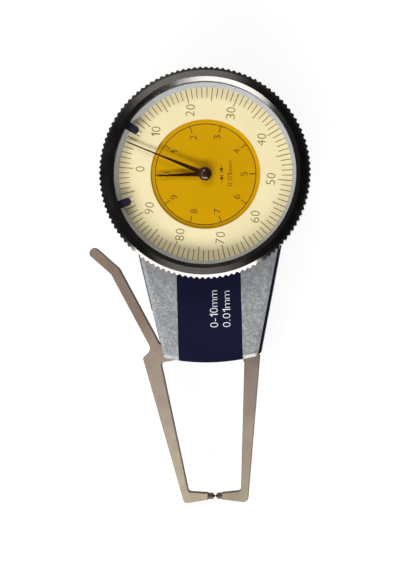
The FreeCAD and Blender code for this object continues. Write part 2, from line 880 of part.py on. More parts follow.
def make_movable_jaw():
    """One flat plate: finger lever, hub, arm for the sector, lower arm and foot."""
    body = new_body("movable_jaw")
    inner, bend, tip, tip_below, outer_bend, outer_low = lever_corners()
    along = polar(1, SECTOR_MIDDLE)
    aside = polar(1, SECTOR_MIDDLE + 90) * (size("sector_arm_width") / 2)
    arm_end = PIVOT + along * size("sector_arm_length")
    arm_right = PIVOT - aside
    level = size("contact_level")
    half = size("foot_end_height") / 2
    foot_top = -level + size("foot_rise")
    heel = -level - size("foot_drop")
    throat = -size("throat_top")
    hub_right = PIVOT.x + size("lever_offset") - size("hub_inset")
    corners = [
        (inner.x, inner.y, 1.0),
        (bend.x, bend.y, 0.8),
        (tip.x, tip.y, 1.2),
        (tip_below.x, tip_below.y, 1.2),
        (outer_bend.x, outer_bend.y, 2.0),
        (outer_low.x, outer_low.y, 1.5),
        (-size("movable_outer_top"), throat + size("shoulder_rise"), 0.6),
        (-size("movable_outer_low"), heel, 1.0),
        (-size("foot_end"), -level - half, 0),
        (-size("foot_end"), -level + half, 0),
        (-size("movable_inner_low"), foot_top, 0.9),
        (-size("movable_inner_top"), throat - size("tab_drop"), 0.8),
        (hub_right, throat + size("tab_rise"), 0.6),
        (hub_right, PIVOT.y - size("hub_drop"), 1.5),
        (arm_right.x, arm_right.y, 1.5),
        ((arm_end - aside).x, (arm_end - aside).y, 1.0),
        ((arm_end + aside).x, (arm_end + aside).y, 1.0),
    ]
    outline = draw(body, "movable_outline", rounded(corners), "jaw_level")
    plate = add(body, outline, "jaw_thickness")
    doc.recompute()
    break_jaw_edges(body, plate)
    holes = [
        ("pivot_bush_hole", [PIVOT], "bush_outer"),
        ("sector_screw_holes", SECTOR_SCREWS, "screw_hole"),
        ("spring_pin_hole", [SPRING_PIN], "post_radius"),
    ]
    for name, places, hole in holes:
        cut(body, draw_circles(body, name, places, hole, "jaw_level"), "jaw_thickness")
    bore_contact_hole(body, -1)
    return body


def make_fixed_jaw():
    """The plate screwed into the case, with its arm and foot."""
    body = new_body("fixed_jaw")
    level = size("contact_level")
    half = size("foot_end_height") / 2
    throat = -size("throat_top")
    corners = [
        (size("fixed_inner_top"), throat + 0.5, 1.8),
        (size("fixed_inner_low"), -level + size("foot_rise"), 0.9),
        (size("foot_end"), -level + half, 0),
        (size("foot_end"), -level - half, 0),
        (size("fixed_outer_low"), -level - size("foot_drop"), 1.3),
        (size("fixed_outer_top"), throat + size("shoulder_rise"), 0.4),
        (SHANK_RIGHT, -size("fixed_shank_top") - size("shank_grip"), 0.6),
        (SHANK_RIGHT, -size("fixed_shank_top"), 2.0),
        (SHANK_LEFT, -size("fixed_shank_top"), 2.0),
        (SHANK_LEFT, throat + size("tab_rise"), 0.5),
    ]
    outline = draw(body, "fixed_outline", rounded(corners), "jaw_level")
    plate = add(body, outline, "jaw_thickness")
    doc.recompute()
    break_jaw_edges(body, plate)
    holes = draw_circles(body, "fixed_screw_holes", FIXED_SCREWS, "screw_hole", "jaw_level")
    cut(body, holes, "jaw_thickness")
    bore_contact_hole(body, 1)
    return body


def break_jaw_edges(body, plate):
    """Takes the sharp edge off the front and back faces outside the case."""
    edges = []
    for level in (size("jaw_level"), size("jaw_top")):
        edges += flat_edges(plate, level)
    soften(body, "PartDesign::Chamfer", plate, edges, "jaw_edge")


def bore_contact_hole(body, side):
    """A blind hole in the foot's end for the carbide point's tail."""
    sketch = body.newObject("Sketcher::SketchObject", body.Name + "_tail_hole")
    sketch.AttachmentSupport = [(origin_plane(body, "YZ_Plane"), "")]
    sketch.MapMode = "FlatFace"
    sketch.AttachmentOffset = FreeCAD.Placement(V(0, 0, side * size("foot_end")), FreeCAD.Rotation())
    middle = size("jaw_level") + size("jaw_thickness") / 2
    sketch.addGeometry(Part.Circle(V(-size("contact_level"), middle, 0), UP, 1.0), False)
    index = sketch.addConstraint(Sketcher.Constraint("Radius", 0, 1.0))
    sketch.setExpression(f"Constraints[{index}]", cells("contact_tail_radius"))
    hole = body.newObject("PartDesign::Pocket", body.Name + "_tail_bore")
    hole.Profile = sketch
    hole.setExpression("Length", cells("contact_tail"))
    hole.Reversed = side > 0


def make_contact(label, side):
    """A carbide point: tail in the foot, round head, cone and ball nose that measures."""
    body = new_body(label)
    foot = size("foot_end")
    end = foot + size("contact_tail")
    tail = size("contact_tail_radius")
    head = size("contact_radius")
    nose = size("contact_nose")
    start = size("contact_gap") / 2
    centre = start + nose
    slope = math.radians(size("contact_cone"))
    touch_x = centre - nose * math.sin(slope)
    touch_r = nose * math.cos(slope)
    shoulder = touch_x + (head - touch_r) / math.tan(slope)
    half = (math.pi / 2 - slope) / 2
    points = [(start, 0), (end, 0), (end, tail), (foot, tail), (foot, head)]
    points += [(shoulder, head), (touch_x, touch_r)]
    corners = [V(side * x, y, 0) for x, y in points]
    ball = V(side * (centre - nose * math.cos(half)), nose * math.sin(half), 0)
    lines = [Part.LineSegment(before, after) for before, after in zip(corners, corners[1:])]
    lines.append(Part.Arc(corners[-1], ball, corners[0]))
    sketch = draw(body, label + "_section", lines)
    turned = body.newObject("PartDesign::Revolution", label + "_turn")
    turned.Profile = sketch
    turned.ReferenceAxis = (sketch, ["H_Axis"])
    turned.Angle = 360
    body.Placement.Base = V(0, -size("contact_level"), size("jaw_level") + size("jaw_thickness") / 2)
    return body


def make_sector_gear():
    """Toothed sector about the pivot, screwed on the jaw's arm."""
    teeth = int(size("sector_teeth"))
    pitch = 360 / teeth
    after = int((TRAVEL + size("sector_margin")) / pitch)
    before = int(size("sector_margin") / pitch)
    arc = tooth_points(SECTOR_MODULE, teeth, MESH_BEARING, range(-before, after + 1), "wheel_tip")
    root = SECTOR_MODULE * teeth / 2 - size("sector_rim")
    foot = size("sector_foot")
    neck = size("sector_neck")
    along = polar(1, SECTOR_MIDDLE)
    aside = polar(1, SECTOR_MIDDLE + 90) * (size("sector_arm_width") / 2)
    first = math.degrees(math.atan2(arc[0].y, arc[0].x))
    last = math.degrees(math.atan2(arc[-1].y, arc[-1].x))
    outline = [along * foot + aside, along * foot - aside, along * neck - aside, polar(root, first)]
    outline += arc + [polar(root, last), along * neck + aside]
    shape = plate_from(outline, size("jaw_top"), size("sector_thickness"))
    near = size("sector_window")
    far = root - size("sector_rim")
    half = size("sector_window_angle")
    sides = ((near, -half), (far, -half), (far, half), (near, half))
    window = [polar(reach, SECTOR_MIDDLE + turned) for reach, turned in sides]
    shape = shape.cut(plate_from(window, size("jaw_top"), size("sector_thickness")))
    shape.translate(PIVOT)
    for place in SECTOR_SCREWS:
        base = V(place.x, place.y, size("jaw_top"))
        shape = shape.cut(Part.makeCylinder(size("screw_hole"), size("sector_thickness"), base))
    return shaped("sector_gear", shape)


# Gears


PRESSURE_ANGLE = math.radians(20)


def involute(angle):
    return math.tan(angle) - angle


def tooth_half_angle(radius, pitch_radius, teeth):
    """Half the angle that a tooth fills at a radius; below the base circle it stays as there."""
    base = pitch_radius * math.cos(PRESSURE_ANGLE)
    flank = math.acos(min(1.0, base / max(radius, base)))
    thickness = math.pi / (2 * teeth) - size("gear_backlash") / (2 * pitch_radius)
    return thickness + involute(PRESSURE_ANGLE) - involute(flank)


def tooth_points(module, teeth, bearing, numbers, tip):
    """Outline of teeth counted from the one at a bearing, in degrees, about the origin."""
    pitch_radius = module * teeth / 2
    root = pitch_radius - size("tooth_root") * module
    low = max(root, pitch_radius * math.cos(PRESSURE_ANGLE))
    high = pitch_radius + size(tip) * module
    radii = [low, (low + high) / 2, high]
    if low > root + 0.01 * module:
        radii.insert(0, root)
    points = []
    for number in numbers:
        middle = bearing + 360 * number / teeth
        for side, order in ((-1, radii), (1, radii[::-1])):
            for radius in order:
                half = math.degrees(tooth_half_angle(radius, pitch_radius, teeth))
                points.append(polar(radius, middle + side * half))
    return points


def plate_from(points, level, thickness):
    face = Part.Face(Part.makePolygon(list(points) + [points[0]]))
    face.translate(UP * level)
    return face.extrude(UP * thickness)


def make_gear(label, centre, module, teeth, bearing, level, thickness, bore, tip="wheel_tip"):
    """A whole gear with a tooth at a bearing and a round bore."""
    outline = tooth_points(module, teeth, bearing, range(teeth), tip)
    shape = plate_from(outline, level, thickness)
    shape = shape.cut(Part.makeCylinder(value_of(bore), thickness, V(0, 0, level)))
    shape.translate(centre)
    return shaped(label, shape)


def wheel_window(rim, hub, start):
    """The opening between two spokes of a wheel, its first spoke at a bearing."""
    half = size("wheel_spoke") / 2
    outer = math.degrees(math.asin(half / rim))
    inner = math.degrees(math.asin(half / hub))
    middle = start + 45
    end = start + 90
    corners = [polar(rim, start + outer), polar(rim, end - outer)]
    corners += [polar(hub, end - inner), polar(hub, start + inner)]
    edges = [
        Part.Arc(corners[0], polar(rim, middle), corners[1]),
        Part.LineSegment(corners[1], corners[2]),
        Part.Arc(corners[2], polar(hub, middle), corners[3]),
        Part.LineSegment(corners[3], corners[0]),
    ]
    return Part.Face(Part.Wire([edge.toShape() for edge in edges]))


def make_wheel(label, centre, bearing):
    """A thin wheel with four windows between its spokes."""
    teeth = int(size("drive_wheel_teeth"))
    level = size("wheel_level")
    thickness = size("wheel_thickness")
    blank = label + "_blank"
    gear = make_gear(blank, centre, MODULE, teeth, bearing, level, thickness, "arbor_body_radius")
    rim = MODULE * teeth / 2 - size("wheel_rim")
    faces = [wheel_window(rim, size("wheel_hub"), 90 * quarter) for quarter in range(4)]
    windows = Part.Compound([face.extrude(UP * thickness) for face in faces])
    windows.translate(centre + UP * level)
    return take(label, gear, shaped(label + "_windows", windows))


def make_pinion(label, centre, module, teeth, gap_bearing, level, wheel_thickness):
    """A small pinion with a gap at a bearing, a little thicker than the wheel it meets."""
    margin = size("pinion_margin")
    bearing = gap_bearing + 180 / teeth
    low = level - margin
    thickness = wheel_thickness + 2 * margin
    bore = "arbor_radius"
    return make_gear(label, centre, module, teeth, bearing, low, thickness, bore, "pinion_tip")


def make_shaft(label, centre):
    """A thin arbor with its two pivots in the plates and a thicker body between them."""
    low = "plate_level + arbor_inset"
    high = "upper_plate_top - arbor_inset"
    pivots = rod(label + "_pivots", centre, "arbor_radius", low, high)
    low = "plate_top + end_shake"
    high = "upper_plate_level - end_shake"
    return [pivots, rod(label + "_body", centre, "arbor_body_radius", low, high)]


def make_arbors():
    """The drive arbor that the sector turns, the centre arbor and the backlash arbor."""
    teeth = int(size("drive_pinion_teeth"))
    thickness = size("sector_thickness")
    meets = MESH_BEARING + 180
    level = size("jaw_top")
    pinion = make_pinion("drive_pinion", DRIVE, SECTOR_MODULE, teeth, meets, level, thickness)
    join("drive_arbor", make_shaft("drive", DRIVE) + [pinion])
    join("backlash_arbor", make_shaft("backlash", BACKLASH))
    teeth = int(size("center_pinion_teeth"))
    thickness = size("wheel_thickness")
    level = size("wheel_level")
    pinion = make_pinion("center_pinion", CENTER, MODULE, teeth, DRIVE_BEARING, level, thickness)
    high = "dial_face + arbor_reach"
    shaft = rod("center_shaft", CENTER, "arbor_radius", "plate_level + arbor_inset", high)
    join("center_arbor", [shaft, pinion])


def make_register_wheels():
    """Equal gears from the drive arbor to the short hand's pipe."""
    teeth = int(size("register_teeth"))
    level = size("register_level")
    thickness = size("register_thickness")
    bearing = DRIVE_BEARING + 180
    bore = "arbor_body_radius"
    make_gear("register_gear", DRIVE, MODULE, teeth, bearing, level, thickness, bore)
    bearing = DRIVE_BEARING + 180 / teeth
    bore = "arbor_radius + arbor_fit"
    wheel = make_gear("short_hand_gear", CENTER, MODULE, teeth, bearing, level, thickness, bore)
    pipe = tube("short_hand_pipe", CENTER, "pipe_radius", bore, "register_level", "dial_face + pipe_reach")
    join("short_hand_wheel", [wheel, pipe])


# Hands


def hand_corners(bearing, reach, waist, waist_width):
    """A hand that narrows from its root to a waist and goes on as a needle."""
    along = polar(1, bearing)
    aside = polar(0.5, bearing + 90)
    halves = [V(0, 0, 0) + aside * size("hand_root"), along * waist + aside * waist_width]
    halves.append(along * reach + aside * size("hand_tip"))
    others = [V(0, 0, 0) - aside * size("hand_root"), along * waist - aside * waist_width]
    others.append(along * reach - aside * size("hand_tip"))
    return others + halves[::-1]


def hub_section():
    """Half of the domed hub: its underside, its short wall and an arc over to the axis."""
    radius = size("hub_radius")
    low = size("dial_face") + size("hub_lift")
    edge = V(radius, low + size("hub_wall"), 0)
    top = V(0, low + size("hub_height"), 0)
    rise = top.y - edge.y
    ball = (radius**2 + rise**2) / (2 * rise)
    middle = V(radius / 2, top.y - ball + math.sqrt(ball**2 - radius**2 / 4), 0)
    return [
        Part.LineSegment(V(0, low, 0), V(radius, low, 0)),
        Part.LineSegment(V(radius, low, 0), edge),
        Part.Arc(edge, middle, top),
        Part.LineSegment(top, V(0, low, 0)),
    ]


def make_long_hand():
    body = new_body("long_hand")
    shape = (size("long_hand_reach"), size("long_hand_waist"), size("long_hand_waist_width"))
    corners = hand_corners(size("long_hand_angle"), *shape)
    sketch = draw(body, "long_hand_outline", polygon(corners), "dial_face + long_hand_lift")
    add(body, sketch, "hand_thickness")
    turn(body, "long_hand_hub", hub_section())
    cut(body, draw_circles(body, "long_hand_bore", [CENTER], "arbor_radius", "dial_face"), "arbor_reach")
    return body


def make_short_hand():
    body = new_body("short_hand")
    level = "dial_face + short_hand_lift"
    shape = (size("short_hand_reach"), size("short_hand_waist"), size("short_hand_waist_width"))
    corners = hand_corners(size("short_hand_angle"), *shape)
    add(body, draw(body, "short_hand_outline", polygon(corners), level), "hand_thickness")
    boss = draw_circles(body, "short_hand_boss", [CENTER], "hub_radius", level)
    add(body, boss, "hand_thickness")
    bore = draw_circles(body, "short_hand_bore", [CENTER], "pipe_radius", level)
    cut(body, bore, "hand_thickness")
    return body


# Movement plates and fixings


def make_plate(label, level, thickness, holes):
    """A round movement plate with bearing holes and holes for screws or feet."""
    body = new_body(label)
    add(body, draw_circles(body, label + "_edge", [CENTER], "plate_radius", level), thickness)
    bearings = draw_circles(body, label + "_bearings", [CENTER, DRIVE, BACKLASH], "bush_radius", level)
    cut(body, bearings, thickness)
    for name, places, radius in holes:
        cut(body, draw_circles(body, name, places, radius, level), thickness)
    return body


def make_bushes():
    """Six bearing bushes, pressed into the two plates."""
    for name, place in (("center", CENTER), ("drive", DRIVE), ("backlash", BACKLASH)):
        bore = "arbor_radius + arbor_fit"
        tube("bush_lower_" + name, place, "bush_radius", bore, "plate_level", "plate_top")
        if name == "center":
            bore = "pipe_radius + arbor_fit"
        tube("bush_upper_" + name, place, "bush_radius", bore, "upper_plate_level", "upper_plate_top")


def make_pillars():
    for number, place in enumerate(PILLARS, start=1):
        solid = rod(f"pillar_{number}_bar", place, "pillar_radius", "plate_top", "upper_plate_level")
        low = "upper_plate_level - thread_depth"
        hole = rod(f"pillar_{number}_thread", place, "screw_hole", low, "upper_plate_level")
        take(f"pillar_{number}", solid, hole)


def value_of(formula):
    """The value of a sum or difference of named sizes."""
    total = 0.0
    sign = 1
    for word in formula.split():
        if word in ("+", "-"):
            sign = 1 if word == "+" else -1
        else:
            total += sign * (size(word) if word in SIZES or word in LEVELS else float(word))
    return total


def make_screws(label, places, head_low, end):
    """Equal screws: a head that starts at a height and a shank to an end height."""
    head_high = head_low + " + screw_head_height"
    upright = value_of(end) < value_of(head_low)
    low = end if upright else head_high
    high = head_low if upright else end
    screws = []
    for number, place in enumerate(places, start=1):
        head = rod(f"{label}_{number}_head", place, "screw_head_radius", head_low, head_high)
        shank = rod(f"{label}_{number}_shank", place, "screw_radius", low, high)
        screws.append(join(f"{label}_{number}", [head, shank]))
    return group(label, screws)


def make_all_screws():
    make_screws("case_screws", CASE_SCREWS, "0", "roof_under - thread_rest")
    make_screws("plate_screws", PLATE_SCREWS, "plate_top", "rear_floor + thread_rest")
    end = "upper_plate_level - thread_depth + thread_rest"
    make_screws("pillar_screws", PILLARS, "upper_plate_top", end)
    make_screws("fixed_jaw_screws", FIXED_SCREWS, "jaw_top", "rear_floor + thread_rest")
    make_screws("sector_screws", SECTOR_SCREWS, "sector_top", "jaw_level + thread_rest")


def make_pivot():
    rod("pivot_pin", PIVOT, "pivot_radius", "rear_floor", "roof_middle")
    tube("pivot_bush", PIVOT, "bush_outer", "pivot_bore", "jaw_level", "jaw_top")
    tube("pivot_washer_lower", PIVOT, "pivot_boss", "pivot_bore", "boss_top", "jaw_level")
    tube("pivot_washer_upper", PIVOT, "pivot_boss", "pivot_bore", "jaw_top", "cover_boss_under")


# Springs and stops


def spiral_points(radius, strip):
    """Points along one side of the hairspring, sixteen to a turn."""
    points = []
    for step in range(16 * int(size("hairspring_turns")) + 1):
        turns = step / 16
        points.append(polar(radius + strip + size("hairspring_pitch") * turns, 360 * turns))
    return points


def make_hairspring():
    """Flat spiral round the backlash arbor's collet, its outer end at the stud."""
    start = size("collet_radius")
    inner = Part.BSplineCurve()
    inner.interpolate(spiral_points(start, 0))
    outer = Part.BSplineCurve()
    outer.interpolate(spiral_points(start, size("hairspring_strip")))
    ends = [
        Part.LineSegment(inner.StartPoint, outer.StartPoint).toShape(),
        Part.LineSegment(inner.EndPoint, outer.EndPoint).toShape(),
    ]
    face = Part.Face(Part.Wire([inner.toShape(), ends[1], outer.toShape(), ends[0]]))
    shape = face.extrude(UP * size("hairspring_height"))
    shape.translate(BACKLASH + UP * size("hairspring_level"))
    shaped("hairspring", shape)
    reach = start + size("hairspring_pitch") * size("hairspring_turns") + size("hairspring_strip")
    stud = BACKLASH + V(reach + size("arbor_body_radius"), 0, 0)
    rod("hairspring_stud", stud, "arbor_body_radius", "hairspring_level", "upper_plate_level")
    top = "hairspring_level + hairspring_height"
    tube("hairspring_collet", BACKLASH, "collet_radius", "arbor_body_radius", "hairspring_level", top)


def make_spring_leg(label, level, tilt):
    """A straight end of the return spring, tilted from upright to one side."""
    leg = doc.addObject("Part::Cylinder", label)
    leg.setExpression("Radius", cells("spring_wire / 2"))
    leg.setExpression("Height", cells("spring_leg"))
    start = PIVOT + V(size("spring_coil_radius"), 0, level)
    leg.Placement = FreeCAD.Placement(start, FreeCAD.Rotation(V(1, 0, 0), tilt))
    return leg


def make_return_spring():
    """Wire spring round the pivot's boss: one leg on the post, the other on the jaw's pin."""
    level = size("rear_floor") + size("spring_wire")
    rise = size("spring_lead") * size("spring_turns")
    helix = doc.addObject("Part::Helix", "spring_path")
    helix.setExpression("Pitch", cells("spring_lead"))
    helix.setExpression("Height", cells("spring_lead * spring_turns"))
    helix.setExpression("Radius", cells("spring_coil_radius"))
    section = doc.addObject("Part::Circle", "spring_section")
    section.setExpression("Radius", cells("spring_wire / 2"))
    place = V(size("spring_coil_radius"), 0, 0)
    section.Placement = FreeCAD.Placement(place, FreeCAD.Rotation(V(1, 0, 0), 90))
    coil = doc.addObject("Part::Sweep", "spring_coil")
    coil.Sections = [section]
    coil.Spine = (helix, ["Edge1"])
    coil.Solid = True
    coil.Frenet = True
    coil.Placement.Base = PIVOT + UP * level
    low_leg = make_spring_leg("spring_leg_post", level, 90)
    high_leg = make_spring_leg("spring_leg_jaw", level + rise, -90)
    join("return_spring", [low_leg, coil, high_leg])
    post_top = "rear_floor + spring_wire * 3"
    rod("spring_post", SPRING_POST, "post_radius", "rear_floor / 2", post_top)
    rod("spring_pin", SPRING_PIN, "post_radius", "rear_floor + spring_wire * 5", "jaw_top")


def make_stop_pin():
    shank = rod("stop_shank", STOP, "post_radius", "rear_floor / 2", "rear_floor")
    head = rod("stop_head", STOP, "stop_radius", "rear_floor", "jaw_top - slot_clearance")
    join("stop_pin", [shank, head])


NODES = (
    "rear_housing front_cover name_plate case_screws pivot_pin pivot_washer_lower pivot_washer_upper "
    "fixed_jaw fixed_jaw_screws fixed_contact lower_plate plate_screws pillar_1 pillar_2 pillar_3 "
    "pillar_4 upper_plate pillar_screws bush_lower_center bush_lower_drive bush_lower_backlash "
    "bush_upper_center bush_upper_drive bush_upper_backlash dial_center hairspring hairspring_stud "
    "return_spring spring_post stop_pin movable_jaw movable_contact pivot_bush sector_gear "
    "sector_screws spring_pin drive_arbor drive_wheel register_gear center_arbor long_hand "
    "short_hand_wheel short_hand backlash_arbor backlash_wheel hairspring_collet bezel crystal "
    "dial_ring spacer_ring bezel_wire marker_upper marker_lower"
).split()


def build():
    make_rear_shell()
    make_front_cover()
    make_label()
    make_bezel()
    make_bezel_wire()
    make_crystal()
    make_dial_ring()
    make_spacer()
    make_dial_center()
    make_marker("marker_upper", size("marker_upper_angle"))
    make_marker("marker_lower", size("marker_lower_angle"))
    make_movable_jaw()
    make_fixed_jaw()
    make_contact("movable_contact", -1)
    make_contact("fixed_contact", 1)
    make_sector_gear()
    make_arbors()
    make_wheel("drive_wheel", DRIVE, DRIVE_BEARING + 180)
    make_wheel("backlash_wheel", BACKLASH, DRIVE_BEARING)
    make_register_wheels()
    make_long_hand()
    make_short_hand()
    lower_holes = [("lower_plate_screw_holes", PLATE_SCREWS, "screw_hole")]
    upper_holes = [("upper_plate_screw_holes", PILLARS, "screw_hole")]
    upper_holes.append(("dial_foot_holes", CENTER_FEET, "arbor_radius + seat_gap"))
    make_plate("lower_plate", "plate_level", "plate_thickness", lower_holes)
    make_plate("upper_plate", "upper_plate_level", "upper_plate_thickness", upper_holes)
    make_bushes()
    make_pillars()
    make_all_screws()
    make_pivot()
    make_hairspring()
    make_return_spring()
    make_stop_pin()
    doc.recompute()


def write_parts():
    """Checks every object, then writes each node."""
    for item in doc.Objects:
        if "Invalid" in item.State or "Error" in item.State:
            raise RuntimeError(f"{item.Label} failed: {item.State}")
    labelled = {item.Label: item for item in doc.Objects}
    for node in NODES:
        shape = labelled[node].Shape
        if shape.isNull() or not shape.isValid():
            raise RuntimeError(f"{node} has no valid shape")
    os.makedirs("parts", exist_ok=True)
    for node in NODES:
        shape = labelled[node].Shape
        shape.exportStep(f"parts/{node}.step")
        print(f"{node}: {len(shape.Solids)} solid(s), {shape.Volume:.2f} mm3")
    print(f"jaw travel {TRAVEL:.4f} degrees, drive arbor at {DRIVE.x:.4f}, {DRIVE.y:.4f}")


build()
write_parts()
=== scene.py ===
# %% [markdown]
# # Outside dial caliper gauge
# This lesson dresses a finished CAD model of a dial caliper gauge. The gauge lies on its back on a
# white table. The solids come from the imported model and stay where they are. Blender adds what a
# solid can't hold: paint, ground steel, the print on the dial, the light and the camera.

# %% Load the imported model
import math

import bpy
from mathutils import Euler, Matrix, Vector


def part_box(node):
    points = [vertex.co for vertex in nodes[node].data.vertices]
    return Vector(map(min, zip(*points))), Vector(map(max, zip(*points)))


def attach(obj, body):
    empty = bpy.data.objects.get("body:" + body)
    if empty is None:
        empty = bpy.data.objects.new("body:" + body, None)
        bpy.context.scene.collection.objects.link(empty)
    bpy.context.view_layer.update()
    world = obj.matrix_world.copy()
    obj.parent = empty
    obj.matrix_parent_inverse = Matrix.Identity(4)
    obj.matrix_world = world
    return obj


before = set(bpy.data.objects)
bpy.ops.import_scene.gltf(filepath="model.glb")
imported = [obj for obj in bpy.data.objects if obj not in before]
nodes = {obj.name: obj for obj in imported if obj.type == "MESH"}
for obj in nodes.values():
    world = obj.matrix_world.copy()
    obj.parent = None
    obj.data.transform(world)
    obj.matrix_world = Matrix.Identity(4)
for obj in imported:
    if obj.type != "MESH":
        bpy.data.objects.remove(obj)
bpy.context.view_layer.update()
MM = 0.001
bpy.ops.object.select_all(action="DESELECT")
print("solids:", len(nodes))

# %% [markdown]
# ## Camera
# The photograph was taken from above, with the lens over a point to the right of the dial and
# level with the foot of the neck. That place is why the right wall of the case shows and the left
# one doesn't. The camera is turned towards the gauge, and a small shift keeps the picture's frame.

# %% Camera over the gauge
camera_data = bpy.data.cameras.new("camera")
camera_data.lens = 69.69
camera_data.sensor_width = 36.0
camera_data.shift_x = -0.04
camera_data.shift_y = 0.018
camera_data.clip_start = 0.01
camera_data.clip_end = 10.0
camera = bpy.data.objects.new("camera", camera_data)
camera.location = (19.476 * MM, -35.531 * MM, 292.394 * MM)
camera.rotation_euler = Euler([math.radians(turn) for turn in (0.9023, 3.291, -1.4874)])
bpy.context.scene.collection.objects.link(camera)
bpy.context.scene.camera = camera
print("camera", round(camera.location.z / MM), "mm above the table")

# %% [markdown]
# ## Light
# The gauge shows what lit it. A strip beyond the jaws makes the white bands on the bezel's lower
# shoulder and upper chamfer, and it gives most of the light. Two weak panels overhead, front and
# back, give the grey sheen on the bezel's crown. Both stop short of the place that the crystal
# mirrors to the lens. A fill at the back and a panel at the left stand at heights that no face of
# the bezel mirrors, so they brighten the dial's edges and leave the black alone.

# %% Lamps
LOOK_AT = Vector((0.0, -0.025, 0.015))


def panel(name, place, width, depth, brightness):
    """A flat lamp that faces the gauge. Brightness is what a mirror would show of it."""
    lamp = bpy.data.lights.new(name, "AREA")
    lamp.shape = "RECTANGLE"
    lamp.size = width
    lamp.size_y = depth
    lamp.energy = brightness * math.pi * width * depth
    body = bpy.data.objects.new(name, lamp)
    body.location = place
    body.rotation_euler = (LOOK_AT - Vector(place)).to_track_quat("-Z", "Y").to_euler()
    bpy.context.scene.collection.objects.link(body)
    print(name, round(lamp.energy, 2), "W")


panel("low_strip", (-0.12, -0.545, 0.39), 0.96, 0.19, 10.6)
panel("front_panel", (-0.07, -0.25, 0.54), 0.22, 0.26, 1.0)
panel("back_panel", (-0.09, 0.33, 0.50), 0.25, 0.24, 1.1)
panel("back_fill", (-0.12, 0.42, 0.41), 0.34, 0.14, 7.0)
panel("left_panel", (-0.39, 0.0, 0.45), 0.4, 0.14, 4.0)

# %% [markdown]
# ## Surround
# Round the table the studio is white at the horizon and dark above, so polished black stays black
# and only the lamps show in it. The world's colour follows the height of the direction it is seen
# in: each stop below is a height, 1 being overhead, and a brightness.

# %% Studio surround
SKY = ((0.17, 1.0), (0.26, 0.10), (0.60, 0.06), (0.90, 0.03))
world = bpy.data.worlds.new("surround")
world.use_nodes = True
bpy.context.scene.world = world
surround = world.node_tree
direction = surround.nodes.new("ShaderNodeTexCoord")
height = surround.nodes.new("ShaderNodeSeparateXYZ")
shade = surround.nodes.new("ShaderNodeValToRGB")
surround.links.new(direction.outputs["Generated"], height.inputs[0])
surround.links.new(height.outputs["Z"], shade.inputs[0])
surround.links.new(shade.outputs["Color"], surround.nodes["Background"].inputs["Color"])
stops = shade.color_ramp.elements
while len(stops) < len(SKY):
    stops.new(0.5)
for stop, (place, value) in zip(stops, SKY):
    stop.position = place
    stop.color = (value, value, value, 1.0)
bpy.context.scene.view_settings.view_transform = "Standard"
print("surround set")

# %% [markdown]
# ## Materials
# Nearly every finish is one Principled shader with patterns in front of it. Values that are the
# same all over go straight on the shader. Patterns read Object coordinates, which are metres here,
# so a pattern scale of 1000 means one step a millimetre. The height of a bump is in metres as well.

# %% Helpers for finishes


def new_finish(name, **plain):
    """A material with one Principled shader, its plain values set on the shader's sockets."""
    material = bpy.data.materials.new(name)
    material.use_nodes = True
    shader = material.node_tree.nodes["Principled BSDF"]
    for socket, value in plain.items():
        shader.inputs[socket.replace("_", " ")].default_value = value
    return material


def step(material, kind, values=None, **settings):
    """A node of a kind. Values are numbers, colours, or sockets that are linked to it."""
    node = material.node_tree.nodes.new(kind)
    for name, value in settings.items():
        setattr(node, name, value)
    for socket, value in (values or {}).items():
        if isinstance(value, bpy.types.NodeSocket):
            material.node_tree.links.new(value, node.inputs[socket])
        else:
            node.inputs[socket].default_value = value
    return node


def to_shader(material, **sockets):
    """Links outputs of patterns to the Principled shader."""
    shader = material.node_tree.nodes["Principled BSDF"]
    for name, output in sockets.items():
        material.node_tree.links.new(output, shader.inputs[name.replace("_", " ")])


def srgb(red, green, blue):
    """A colour as a paint chart gives it, 0 to 255, in the linear numbers a shader takes."""
    parts = [value / 255 for value in (red, green, blue)]
    return [v / 12.92 if v <= 0.04045 else ((v + 0.055) / 1.055) ** 2.4 for v in parts] + [1.0]


def stretched(material, stretch=(1, 1, 1), turn=(0, 0, 0)):
    """Object coordinates, stretched and turned for a pattern with a direction."""
    where = step(material, "ShaderNodeTexCoord").outputs["Object"]
    values = {"Vector": where, "Scale": stretch, "Rotation": turn}
    return step(material, "ShaderNodeMapping", values).outputs["Vector"]


def speckle(material, scale, detail=3.0, roughness=0.55, where=None):
    """A noise pattern from 0 to 1."""
    where = where or stretched(material)
    values = {"Vector": where, "Scale": scale, "Detail": detail, "Roughness": roughness}
    return step(material, "ShaderNodeTexNoise", values).outputs["Fac"]


def shades(material, pattern, *stops):
    """A pattern turned into colours, each stop a place from 0 to 1 and a colour."""
    ramp = step(material, "ShaderNodeValToRGB", {"Fac": pattern})
    marks = ramp.color_ramp.elements
    while len(marks) < len(stops):
        marks.new(0.5)
    for mark, (place, colour) in zip(marks, stops):
        mark.position = place
        mark.color = colour
    return ramp.outputs["Color"]


def spread(material, pattern, low, high, start=0.0, end=1.0):
    """A pattern that runs from start to end, stretched to run from low to high."""
    values = {"Value": pattern, "From Min": start, "From Max": end, "To Min": low, "To Max": high}
    return step(material, "ShaderNodeMapRange", values).outputs["Result"]


def relief(material, pattern, height, strength):
    """A bump as high as given in metres."""
    values = {"Height": pattern, "Distance": height, "Strength": strength}
    return step(material, "ShaderNodeBump", values).outputs["Normal"]


def paint(material, *names):
    """Puts a finish on CAD nodes."""
    for name in names:
        for place in nodes[name].material_slots:
            place.material = material


print("helpers ready")

# %% [markdown]
# ## Table
# The table is a pale plain floor. Where the camera sees it, straight or by way of a mirror or the
# crystal, a light path lifts it to paper white. It keeps a little of the shadow, so the gauge still
# rests on something. For every other ray it is an ordinary floor, so it adds no light of its own.
# It lies a tenth of a millimetre under the gauge, so that no two faces share a plane.

